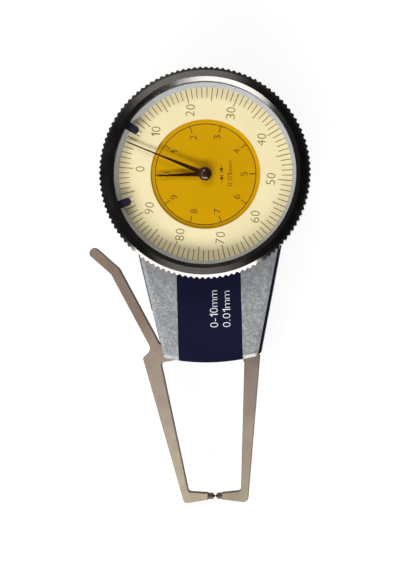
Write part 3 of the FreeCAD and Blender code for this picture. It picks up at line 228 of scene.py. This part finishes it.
# %% White table
PAPER_SHARE = 0.78
PAPER_GLOW = 1.12
TABLE_DROP = 0.0001
bpy.ops.mesh.primitive_plane_add(size=6.0, location=(0, 0, -TABLE_DROP))
table = bpy.context.object
table.name = "table"
bpy.ops.object.transform_apply()
table_finish = new_finish("table_white", Roughness=0.9, Specular_IOR_Level=0.1)
tree = table_finish.node_tree
base = shades(
    table_finish,
    speckle(table_finish, 40.0),
    (0.0, (0.80, 0.80, 0.80, 1)),
    (1.0, (0.84, 0.84, 0.84, 1)),
)
to_shader(table_finish, Base_Color=base)
path = step(table_finish, "ShaderNodeLightPath")
rays = {0: path.outputs["Is Camera Ray"], 1: path.outputs["Is Transmission Ray"]}
seen = step(table_finish, "ShaderNodeMath", rays, operation="MAXIMUM")
rays = {0: seen.outputs[0], 1: path.outputs["Is Glossy Ray"]}
seen = step(table_finish, "ShaderNodeMath", rays, operation="MAXIMUM")
lift = {0: seen.outputs[0], 1: PAPER_SHARE}
share = step(table_finish, "ShaderNodeMath", lift, operation="MULTIPLY")
glow = step(table_finish, "ShaderNodeEmission", {"Color": (1, 1, 1, 1), "Strength": PAPER_GLOW})
blend = step(
    table_finish,
    "ShaderNodeMixShader",
    {0: share.outputs[0], 1: tree.nodes["Principled BSDF"].outputs[0], 2: glow.outputs[0]},
)
tree.links.new(blend.outputs[0], tree.nodes["Material Output"].inputs["Surface"])
table.data.materials.append(table_finish)
print("table laid")

# %% [markdown]
# ## Hammered paint on the front cover
# The cover is sprayed with hammered paint: a silver grey that draws into small pools as it dries.
# Two noises make the mottle, a coarse one for pools and a fine one for flakes, and a smooth Voronoi
# gives the pools their rounded relief. Sprayed paint is thin, so the bump stays under 0.05 mm.

# %% Hammered grey
hammered = new_finish("hammered_grey", Specular_IOR_Level=0.3, Coat_Weight=0.8, Coat_Roughness=0.15)
pools = speckle(hammered, 2600.0, 3.0, 0.6)
drift = speckle(hammered, 620.0, 2.0)
mottle = step(hammered, "ShaderNodeMix", {0: 0.35, 2: pools, 3: drift}).outputs[0]
grey = shades(
    hammered,
    mottle,
    (0.36, srgb(121, 124, 126)),
    (0.50, srgb(146, 148, 150)),
    (0.64, srgb(181, 183, 185)),
)
dimples = step(
    hammered,
    "ShaderNodeTexVoronoi",
    {"Vector": stretched(hammered), "Scale": 1500.0, "Smoothness": 0.8},
    feature="SMOOTH_F1",
)
to_shader(
    hammered,
    Base_Color=grey,
    Roughness=spread(hammered, pools, 0.36, 0.55),
    Normal=relief(hammered, dimples.outputs["Distance"], 0.00004, 0.35),
)
paint(hammered, "front_cover")
print("front cover painted")

# %% [markdown]
# ## Blue shell and name plate
# The rear shell is smooth dark blue enamel. The plate in the neck is the same blue in a duller,
# printed finish. Enamel has a faint orange peel, and printed foil a fine grain.

# %% Dark blue enamel and printed foil
enamel = new_finish("blue_enamel", Specular_IOR_Level=0.35, Coat_Weight=0.15, Coat_Roughness=0.1)
peel = speckle(enamel, 500.0, 2.0)
drift = speckle(enamel, 160.0)
to_shader(
    enamel,
    Base_Color=shades(enamel, drift, (0.3, srgb(13, 20, 42)), (0.7, srgb(18, 27, 52))),
    Roughness=spread(enamel, peel, 0.28, 0.4),
    Normal=relief(enamel, peel, 0.00002, 0.6),
)
paint(enamel, "rear_housing")

foil = new_finish("printed_foil", Specular_IOR_Level=0.06)
grain = speckle(foil, 2600.0, 2.0)
to_shader(
    foil,
    Base_Color=shades(foil, speckle(foil, 90.0), (0.3, srgb(17, 18, 42)), (0.7, srgb(21, 22, 47))),
    Roughness=spread(foil, grain, 0.42, 0.58),
    Normal=relief(foil, grain, 0.00001, 0.4),
)
paint(foil, "name_plate")
print("shell and plate painted")

# %% [markdown]
# ## Ground steel of the jaws
# Both jaws are flat steel, ground and then dulled, with a warm tone. Grinding leaves fine lines
# along the arm, so one noise is stretched along Y and turned by a few degrees, and a slower one
# gives the patches that handling leaves. The steel is lighter at the foot and darker towards the
# end that goes into the case, so its tone follows the piece's own Y. The sides carry painted
# shade, a near-black colour in place of the steel's, which the surface normal picks out.

# %% Ground steel
# Painted shade: the near-black colour that the jaws' sides get.
JAW_SIDE_SHADE = srgb(18, 14, 11)
GRIND_TURN = 5


def ground_steel(piece, *tones):
    """Ground steel for a jaw, with tones from its foot upwards, and painted shade on its sides."""
    finish = new_finish(piece + "_steel", Specular_IOR_Level=0.08)
    heights = [corner.co.y for corner in nodes[piece].data.vertices]
    where = step(finish, "ShaderNodeSeparateXYZ", {"Vector": stretched(finish)}).outputs["Y"]
    tone = shades(finish, spread(finish, where, 0.0, 1.0, min(heights), max(heights)), *tones)
    ground = stretched(finish, (3600, 500, 900), (0, 0, math.radians(GRIND_TURN)))
    lines = speckle(finish, 1.0, 3.0, 0.6, ground)
    patches = speckle(finish, 170.0, 4.0, 0.6)
    both = step(finish, "ShaderNodeMix", {0: 0.7, 2: lines, 3: patches}).outputs[0]
    uneven = {"Value": spread(finish, both, 0.86, 1.14, 0.3, 0.7), "Color": tone}
    flats = step(finish, "ShaderNodeHueSaturation", uneven).outputs["Color"]
    # Painted shade: faces that turn sideways get the near-black side colour and no metal shine.
    facing = step(finish, "ShaderNodeNewGeometry").outputs["Normal"]
    up = step(finish, "ShaderNodeSeparateXYZ", {"Vector": facing}).outputs["Z"]
    flat = step(finish, "ShaderNodeMath", {0: up}, operation="ABSOLUTE").outputs[0]
    keep = spread(finish, flat, 0.0, 1.0, 0.3, 0.9)
    colours = {0: keep, 6: JAW_SIDE_SHADE, 7: flats}
    to_shader(
        finish,
        Base_Color=step(finish, "ShaderNodeMix", colours, data_type="RGBA").outputs[2],
        Metallic=spread(finish, keep, 0.0, 0.3),
        Roughness=spread(finish, both, 0.40, 0.58),
        Normal=relief(finish, lines, 0.000008, 0.5),
    )
    paint(finish, piece)


# The tones run from the foot, the lightest, to the end that goes into the case, the darkest.
ground_steel(
    "movable_jaw",
    (0.0, srgb(178, 166, 142)),
    (0.45, srgb(167, 152, 137)),
    (0.75, srgb(136, 120, 106)),
)
ground_steel(
    "fixed_jaw",
    (0.0, srgb(160, 148, 126)),
    (0.3, srgb(161, 146, 130)),
    (0.65, srgb(139, 125, 113)),
)

carbide = new_finish("sintered_carbide", Metallic=0.6)
pits = speckle(carbide, 4000.0, 3.0)
to_shader(
    carbide,
    Base_Color=shades(carbide, pits, (0.3, srgb(58, 53, 47)), (0.7, srgb(84, 77, 68))),
    Roughness=spread(carbide, pits, 0.34, 0.48),
    Normal=relief(carbide, pits, 0.000004, 0.4),
)
paint(carbide, "fixed_contact", "movable_contact")
print("jaws finished")

# %% [markdown]
# ## Black bezel
# The bezel is turned, knurled and blackened. The black is a thin layer on smooth metal, so it is a
# metal shader with a dark, slightly warm colour, which shows the lamps as clear bands. Handling
# leaves patches that are a little duller. The two colours are how much light the metal throws back.

# %% Blackened metal
DULL_BLACK = (0.112, 0.105, 0.100, 1)
BRIGHT_BLACK = (0.134, 0.125, 0.119, 1)
black = new_finish("bezel_black", Metallic=1.0)
patches = speckle(black, 220.0, 3.0)
to_shader(
    black,
    Base_Color=shades(black, patches, (0.3, DULL_BLACK), (0.75, BRIGHT_BLACK)),
    Roughness=spread(black, patches, 0.10, 0.20),
    Normal=relief(black, speckle(black, 1800.0, 2.0), 0.000004, 0.3),
)
paint(black, "bezel")
print("bezel blackened")

# %% [markdown]
# ## Crystal
# The crystal is clear acrylic, polished on both sides. It is thin and flat, so it hardly bends what
# is behind it, and a clear shader with a mirror over it by Fresnel does the same without the dark
# shadow that real glass casts in a path tracer. The mirror is left off where light leaves the
# sheet, since an unbent ray would be thrown back there. A few hairline marks keep it from being
# perfect.

# %% Clear acrylic
acrylic = bpy.data.materials.new("clear_acrylic")
acrylic.use_nodes = True
acrylic.node_tree.nodes.clear()
clear = step(acrylic, "ShaderNodeBsdfTransparent", {"Color": (0.99, 0.99, 0.985, 1)})
marks = speckle(acrylic, 1.0, 2.0, 0.5, stretched(acrylic, (300, 4000, 300), (0, 0, 0.6)))
mirror = step(
    acrylic,
    "ShaderNodeBsdfGlossy",
    {"Color": (1, 1, 1, 1), "Roughness": spread(acrylic, marks, 0.02, 0.08)},
)
fresnel = step(acrylic, "ShaderNodeFresnel", {"IOR": 1.3})
inside = step(acrylic, "ShaderNodeNewGeometry").outputs["Backfacing"]
amount = step(acrylic, "ShaderNodeMix", {0: inside, 2: fresnel.outputs[0], 3: 0.0}).outputs[0]
sheet = step(acrylic, "ShaderNodeMixShader", {0: amount, 1: clear.outputs[0], 2: mirror.outputs[0]})
step(acrylic, "ShaderNodeOutputMaterial", {"Surface": sheet.outputs[0]})
paint(acrylic, "crystal")
print("crystal cleared")

# %% [markdown]
# ## Dial
# The dial is two printed discs: a cream ring that turns with the bezel and a yellow centre that
# stays still. The sloping ring round them is satin grey, the two markers are dark blue, and the
# hands have a dark brown lacquer.

# %% Cream, yellow, grey, blue and brown
cream = new_finish("dial_cream_enamel", Specular_IOR_Level=0.1)
fibre = speckle(cream, 1500.0, 3.0)
tone = speckle(cream, 120.0)
to_shader(
    cream,
    Base_Color=shades(cream, tone, (0.3, srgb(244, 230, 184)), (0.7, srgb(248, 235, 191))),
    Roughness=spread(cream, fibre, 0.45, 0.6),
    Normal=relief(cream, fibre, 0.000004, 0.3),
)
paint(cream, "dial_ring")

yellow = new_finish("dial_yellow_enamel", Specular_IOR_Level=0.05)
fibre = speckle(yellow, 1500.0, 3.0)
tone = speckle(yellow, 120.0)
to_shader(
    yellow,
    Base_Color=shades(yellow, tone, (0.3, srgb(206, 155, 1)), (0.7, srgb(210, 160, 2))),
    Roughness=spread(yellow, fibre, 0.45, 0.6),
    Normal=relief(yellow, fibre, 0.000004, 0.3),
)
paint(yellow, "dial_center")

satin = new_finish("spacer_satin", Metallic=0.2, Specular_IOR_Level=0.3)
tone = speckle(satin, 900.0, 3.0)
to_shader(
    satin,
    Base_Color=shades(satin, tone, (0.3, srgb(172, 176, 186)), (0.7, srgb(186, 190, 199))),
    Roughness=spread(satin, tone, 0.32, 0.45),
    Normal=relief(satin, tone, 0.000004, 0.3),
)
paint(satin, "spacer_ring")

marker_blue = new_finish("marker_blue_paint", Specular_IOR_Level=0.5)
tone = speckle(marker_blue, 700.0, 3.0)
to_shader(
    marker_blue,
    Base_Color=shades(marker_blue, tone, (0.3, srgb(12, 15, 38)), (0.7, srgb(18, 23, 50))),
    Roughness=spread(marker_blue, tone, 0.3, 0.45),
    Normal=relief(marker_blue, tone, 0.000006, 0.3),
)
paint(marker_blue, "marker_upper", "marker_lower")

brown = new_finish("hand_lacquer", Specular_IOR_Level=0.3, Coat_Weight=0.15, Coat_Roughness=0.06)
tone = speckle(brown, 1200.0, 3.0)
to_shader(
    brown,
    Base_Color=shades(brown, tone, (0.3, srgb(44, 22, 7)), (0.7, srgb(58, 30, 11))),
    Roughness=spread(brown, tone, 0.12, 0.2),
    Normal=relief(brown, tone, 0.000003, 0.3),
)
paint(brown, "long_hand", "short_hand")
print("dial finished")

# %% [markdown]
# ## Parts inside
# Wheels, plates and bushes are brass, turned pins and screws are steel, and the hairspring is a
# bronze alloy. None of it shows in the photograph, but it is seen when the case is taken apart.

# %% Brass, steel and bronze


def turned_metal(name, light, dark, low, high):
    """Machined metal: small shifts of tone, fine tool lines and a soft shine."""
    finish = new_finish(name, Metallic=1.0)
    tone = speckle(finish, 300.0, 4.0)
    lines = speckle(finish, 1.0, 2.0, 0.5, stretched(finish, (600, 600, 9000)))
    to_shader(
        finish,
        Base_Color=shades(finish, tone, (0.3, dark), (0.7, light)),
        Roughness=spread(finish, tone, low, high),
        Normal=relief(finish, lines, 0.000004, 0.4),
    )
    return finish


brass = turned_metal("turned_brass", srgb(222, 190, 120), srgb(196, 160, 92), 0.22, 0.36)
steel = turned_metal("turned_steel", srgb(196, 196, 198), srgb(160, 160, 164), 0.24, 0.38)
bronze = turned_metal("spring_bronze", srgb(206, 150, 100), srgb(172, 118, 76), 0.2, 0.3)
finishes = {"brass": brass, "steel": steel, "spring_alloy": bronze}
for name, item in nodes.items():
    finish = finishes.get(item.material_slots[0].name)
    if finish:
        paint(finish, name)
print("inside finished")

# %% [markdown]
# ## Print on the dial
# The outer scale has a hundred lines, every fifth one longer, and ten numbers that all read
# upwards. It is printed on the cream ring, so it turns with the bezel. A line is modelled once as a
# thin box, and a spin in its duplicating form sets the copies round the axis: four short ones after
# each long one, then the group of four round the ring. Radii and widths are in millimetres, and
# steps are in degrees.

# %% Lines of the outer scale
DIAL_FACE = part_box("dial_ring")[1].z
INK_RISE = 0.012 * MM
ZERO = 173.7
SCALE_STEP = 3.6
GROUP_STEP = 5 * SCALE_STEP
SCALE_EDGE = 22.05
SHORT_START = 19.3
SHORT_WIDTH = 0.2
LONG_START = 18.4
LONG_WIDTH = 0.22


def ink_strip(name, inner, outer, width, bearing, face):
    """A thin raised line along a radius, its ends at two radii in millimetres."""
    bpy.ops.mesh.primitive_cube_add(size=1.0)
    strip = bpy.context.object
    strip.name = name
    bpy.ops.object.mode_set(mode="EDIT")
    bpy.ops.transform.resize(value=((outer - inner) * MM, width * MM, 2 * INK_RISE))
    middle = (inner + outer) / 2 * MM
    bpy.ops.transform.translate(value=(middle, 0, face))
    bpy.ops.object.mode_set(mode="OBJECT")
    strip.rotation_euler.z = math.radians(bearing)
    bpy.ops.object.transform_apply()
    return strip


def round_copies(strip, count, spacing):
    """Copies of a mesh round the dial's axis, a number of degrees apart."""
    bpy.ops.object.select_all(action="DESELECT")
    strip.select_set(True)
    bpy.context.view_layer.objects.active = strip
    bpy.ops.object.mode_set(mode="EDIT")
    bpy.ops.mesh.select_all(action="SELECT")
    bpy.ops.mesh.spin(
        steps=count - 1,
        dupli=True,
        angle=math.radians(spacing * (count - 1)),
        center=(0, 0, 0),
        axis=(0, 0, 1),
    )
    bpy.ops.object.mode_set(mode="OBJECT")


def joined(name, pieces):
    """Several meshes made one."""
    bpy.ops.object.select_all(action="DESELECT")
    for piece in pieces:
        piece.select_set(True)
    bpy.context.view_layer.objects.active = pieces[0]
    bpy.ops.object.join()
    whole = bpy.context.object
    whole.name = name
    whole.data.name = name
    bpy.ops.object.select_all(action="DESELECT")
    return whole


first = ZERO - SCALE_STEP
short_line = ink_strip("short_line", SHORT_START, SCALE_EDGE, SHORT_WIDTH, first, DIAL_FACE)
round_copies(short_line, 4, SCALE_STEP)
round_copies(short_line, 20, GROUP_STEP)
long_line = ink_strip("long_line", LONG_START, SCALE_EDGE, LONG_WIDTH, ZERO, DIAL_FACE)
round_copies(long_line, 20, GROUP_STEP)
print("lines:", (len(short_line.data.polygons) + len(long_line.data.polygons)) // 6)

# %% [markdown]
# ## Numbers
# A number is set as text, sign by sign. Each sign is turned into a mesh and then fitted to the
# height and width that the real print has, its width as a share of its height. It is extruded to a
# thickness of one, so its scale along Z is the thickness of the ink. A mesh made from text has
# doubled corners, which are merged before its normals are made consistent. Every number stands
# with its top towards the left, so it reads upwards when the jaws point down. A pen is the stroke
# of a figure 1, as a share of its height, and how much the strokes of the other signs swell.

# %% Numbers of the outer scale
bpy.ops.object.text_add()
bpy.context.object.data.body = "7"
bpy.ops.object.convert(target="MESH")
CAP_HEIGHT = max(v.co.y for v in bpy.context.object.data.vertices)
bpy.ops.object.delete()

WIDTHS = {"1": 0.40, ".": 0.15, "-": 0.40, "m": 0.98}
DIGIT_WIDTH = 0.62
LETTER_GAP = 0.17
DIAL_PEN = (0.14, -0.012)
PLATE_PEN = (0.12, -0.018)
FLAG_REACH = 0.36
FLAG_LEAN = 42
MERGE_DISTANCE = 0.00001
NUMBER_RADIUS = 16.6
NUMBER_HEIGHT = 2.25
NUMBER_SQUEEZE = 0.94


def letter(sign, tall, swell):
    """One sign as a flat mesh that stands on the X axis and starts at zero."""
    width = WIDTHS.get(sign, DIGIT_WIDTH) * tall * MM
    bpy.ops.object.text_add()
    bpy.context.object.data.body = sign
    bpy.context.object.data.resolution_u = 4
    bpy.context.object.data.extrude = 0.5
    bpy.context.object.data.offset = swell
    bpy.ops.object.convert(target="MESH")
    bpy.ops.object.mode_set(mode="EDIT")
    bpy.ops.mesh.select_all(action="SELECT")
    bpy.ops.mesh.remove_doubles(threshold=MERGE_DISTANCE)
    bpy.ops.mesh.normals_make_consistent(inside=False)
    bpy.ops.object.mode_set(mode="OBJECT")
    glyph = bpy.context.object
    xs = [v.co.x for v in glyph.data.vertices]
    glyph.scale = (width / (max(xs) - min(xs)), tall * MM / CAP_HEIGHT, 2 * INK_RISE)
    glyph.location.x = -min(xs) * glyph.scale.x
    bpy.ops.object.transform_apply()
    return glyph


def figure_one(tall, stroke_share):
    """The figure 1 with its flag: a stem and a short stroke that leans on its top."""
    width = WIDTHS["1"] * tall
    pen = stroke_share * tall
    stem = ink_strip("stem", 0, tall, pen, 90, 0)
    stem.location.x = (width - pen / 2) * MM
    flag = ink_strip("flag", -FLAG_REACH * tall, 0, pen, FLAG_LEAN, 0)
    flag.location = ((width - pen / 2) * MM, (tall - pen / 2) * MM, 0)
    for stroke in (stem, flag):
        bpy.ops.object.select_all(action="DESELECT")
        stroke.select_set(True)
        bpy.context.view_layer.objects.active = stroke
        bpy.ops.object.transform_apply()
    return joined("figure_one", [stem, flag])


def ink_words(text, tall, place, face, turn=0.0, squeeze=1.0, pen=DIAL_PEN):
    """Text as a thin mesh: the height of its figures and its middle in millimetres.

    It reads upwards, and a turn in degrees leans it to the left of that. Squeeze is a factor on
    its length."""
    glyphs = []
    pen_at = 0.0
    for sign in text:
        glyph = figure_one(tall, pen[0]) if sign == "1" else letter(sign, tall, pen[1])
        glyph.location.x = pen_at
        bpy.ops.object.select_all(action="DESELECT")
        glyph.select_set(True)
        bpy.context.view_layer.objects.active = glyph
        bpy.ops.object.transform_apply()
        glyphs.append(glyph)
        pen_at += (WIDTHS.get(sign, DIGIT_WIDTH) + LETTER_GAP) * tall * MM
    words = joined(text, glyphs)
    words.select_set(True)
    bpy.context.view_layer.objects.active = words
    bpy.ops.object.mode_set(mode="EDIT")
    bpy.ops.mesh.select_all(action="SELECT")
    middle = ((pen_at - LETTER_GAP * tall * MM) / 2, tall * MM / 2, 0)
    bpy.ops.transform.translate(value=[-part for part in middle])
    bpy.ops.object.mode_set(mode="OBJECT")
    words.scale.x = squeeze
    words.rotation_euler.z = math.radians(90 + turn)
    words.location = (place[0] * MM, place[1] * MM, face)
    bpy.ops.object.transform_apply()
    return words


def on_circle(radius, bearing):
    """A place in millimetres on a circle about the dial's axis."""
    return radius * math.cos(math.radians(bearing)), radius * math.sin(math.radians(bearing))


outer_numbers = []
for tens in range(10):
    place = on_circle(NUMBER_RADIUS, ZERO - 10 * SCALE_STEP * tens)
    text = str(tens * 10)
    number = ink_words(text, NUMBER_HEIGHT, place, DIAL_FACE, ZERO - 180, NUMBER_SQUEEZE)
    outer_numbers.append(number)
outer_scale = joined("outer_scale", [short_line, long_line] + outer_numbers)
print("outer scale faces:", len(outer_scale.data.polygons))

# %% [markdown]
# ## Print on the yellow centre
# The centre has a thin circle, ten lines that reach inwards, the numbers 0 to 9, the graduation
# and a pair of arrows that point at each other. The circle starts as a circle of edges, which is
# widened to a flat ring and then given its thickness. An arrow's head and tail stand back from its
# tip, and its bar stands a little ahead of it.

# %% Centre print
CENTER_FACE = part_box("dial_center")[1].z
CENTER_ZERO = 178.6
CENTER_STEP = 36
CIRCLE_RADIUS = 12.78
CIRCLE_SIDES = 144
FINE_WIDTH = 0.2
FINE_START = 11.1
FINE_END = 12.7
DIGIT_RADIUS = 9.8
DIGIT_HEIGHT = 1.75
GRADUATION_HEIGHT = 1.25
GRADUATION_SQUEEZE = 1.12
GRADUATION_PLACE = (6.2, 0.0)
ARROW_PLACE = 4.1
ARROW_GAP = 0.55
HEAD_SIZE = 0.62
HEAD_BACK = 0.55
BAR_AHEAD = 0.1
TAIL_BACK = 1.25


def ink_circle(name, radius, width, face):
    """A thin ring, its middle radius and width in millimetres."""
    bpy.ops.mesh.primitive_circle_add(vertices=CIRCLE_SIDES, radius=(radius - width / 2) * MM)
    ring = bpy.context.object
    ring.name = name
    bpy.ops.object.mode_set(mode="EDIT")
    bpy.ops.mesh.select_all(action="SELECT")
    grow = (radius + width / 2) / (radius - width / 2)
    bpy.ops.mesh.extrude_edges_move()
    bpy.ops.transform.resize(value=(grow, grow, 1))
    bpy.ops.mesh.select_all(action="SELECT")
    bpy.ops.mesh.extrude_region_move(TRANSFORM_OT_translate={"value": (0, 0, 2 * INK_RISE)})
    bpy.ops.mesh.select_all(action="SELECT")
    bpy.ops.mesh.normals_make_consistent(inside=False)
    bpy.ops.transform.translate(value=(0, 0, face - INK_RISE))
    bpy.ops.object.mode_set(mode="OBJECT")
    return ring


def ink_arrow(name, tip, face):
    """An arrow head that points along Y, its bar and its tail. The tip is in millimetres."""
    side = 1 if tip[1] > 0 else -1
    bpy.ops.mesh.primitive_circle_add(vertices=3, radius=HEAD_SIZE * MM, fill_type="NGON")
    head = bpy.context.object
    head.name = name
    bpy.ops.object.mode_set(mode="EDIT")
    bpy.ops.mesh.select_all(action="SELECT")
    bpy.ops.mesh.extrude_region_move(TRANSFORM_OT_translate={"value": (0, 0, 2 * INK_RISE)})
    bpy.ops.mesh.select_all(action="SELECT")
    bpy.ops.mesh.normals_make_consistent(inside=False)
    bpy.ops.object.mode_set(mode="OBJECT")
    head.rotation_euler.z = math.pi if side > 0 else 0.0
    head.location = (tip[0] * MM, (tip[1] + side * HEAD_BACK) * MM, face - INK_RISE)
    bpy.ops.object.transform_apply()
    bar = ink_strip(name + "_bar", -0.5, 0.5, 0.14, 0, face)
    tail = ink_strip(name + "_tail", -0.5, 0.5, 0.12, 90, face)
    bar.location = (tip[0] * MM, (tip[1] - side * BAR_AHEAD) * MM, 0)
    tail.location = (tip[0] * MM, (tip[1] + side * TAIL_BACK) * MM, 0)
    for line in (bar, tail):
        bpy.ops.object.select_all(action="DESELECT")
        line.select_set(True)
        bpy.context.view_layer.objects.active = line
        bpy.ops.object.transform_apply()
    return [head, bar, tail]


center_pieces = [ink_circle("center_circle", CIRCLE_RADIUS, FINE_WIDTH, CENTER_FACE)]
center_line = ink_strip("center_line", FINE_START, FINE_END, FINE_WIDTH, CENTER_ZERO, CENTER_FACE)
round_copies(center_line, 10, CENTER_STEP)
center_pieces.append(center_line)
upright = CENTER_ZERO - 180
for digit in range(10):
    place = on_circle(DIGIT_RADIUS, CENTER_ZERO - CENTER_STEP * digit)
    center_pieces.append(ink_words(str(digit), DIGIT_HEIGHT, place, CENTER_FACE, upright))
graduation = ink_words(
    "0.01mm", GRADUATION_HEIGHT, GRADUATION_PLACE, CENTER_FACE, upright, GRADUATION_SQUEEZE
)
center_pieces.append(graduation)
center_pieces += ink_arrow("upper_arrow", (ARROW_PLACE, ARROW_GAP), CENTER_FACE)
center_pieces += ink_arrow("lower_arrow", (ARROW_PLACE, -ARROW_GAP), CENTER_FACE)
center_scale = joined("center_scale", center_pieces)
print("centre print faces:", len(center_scale.data.polygons))

# %% [markdown]
# ## Lettering on the name plate
# The plate carries the range and the graduation in white, in a slightly thinner pen. They read
# upwards as the dial's numbers do. Each line is its text, the height of its figures, its middle
# and how much it is squeezed.

# %% Range and graduation
PLATE_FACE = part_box("name_plate")[1].z
PLATE_LINES = (
    ("0-10mm", 2.05, (1.12, -34.1), 0.94),
    ("0.01mm", 1.95, (4.32, -34.2), 1.02),
)
plate_words = []
for text, tall, place, squeeze in PLATE_LINES:
    plate_words.append(ink_words(text, tall, place, PLATE_FACE, squeeze=squeeze, pen=PLATE_PEN))
plate_text = joined("plate_text", plate_words)
print("plate text faces:", len(plate_text.data.polygons))

# %% [markdown]
# ## Inks
# The dial's ink is a thin brown that lets a little of the dial through, so it is mixed a bit
# unevenly, and it looks darker on the yellow. The plate's ink is an opaque white.

# %% Ink finishes


def ink(name, light, dark):
    """A printed colour with the slight unevenness of a pad print."""
    finish = new_finish(name, Specular_IOR_Level=0.3)
    tone = speckle(finish, 1600.0, 3.0)
    to_shader(
        finish,
        Base_Color=shades(finish, tone, (0.3, dark), (0.7, light)),
        Roughness=spread(finish, tone, 0.4, 0.6),
        Normal=relief(finish, tone, 0.000003, 0.2),
    )
    return finish


outer_ink = ink("outer_ink", srgb(146, 124, 74), srgb(122, 101, 55))
center_ink = ink("center_ink", srgb(88, 46, 3), srgb(70, 35, 1))
white_ink = ink("white_ink", srgb(248, 248, 250), srgb(238, 238, 241))
for piece, finish, body in (
    (outer_scale, outer_ink, "bezel_ring"),
    (center_scale, center_ink, "case"),
    (plate_text, white_ink, "case"),
):
    piece.data.materials.clear()
    piece.data.materials.append(finish)
    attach(piece, body)
print("print inked")
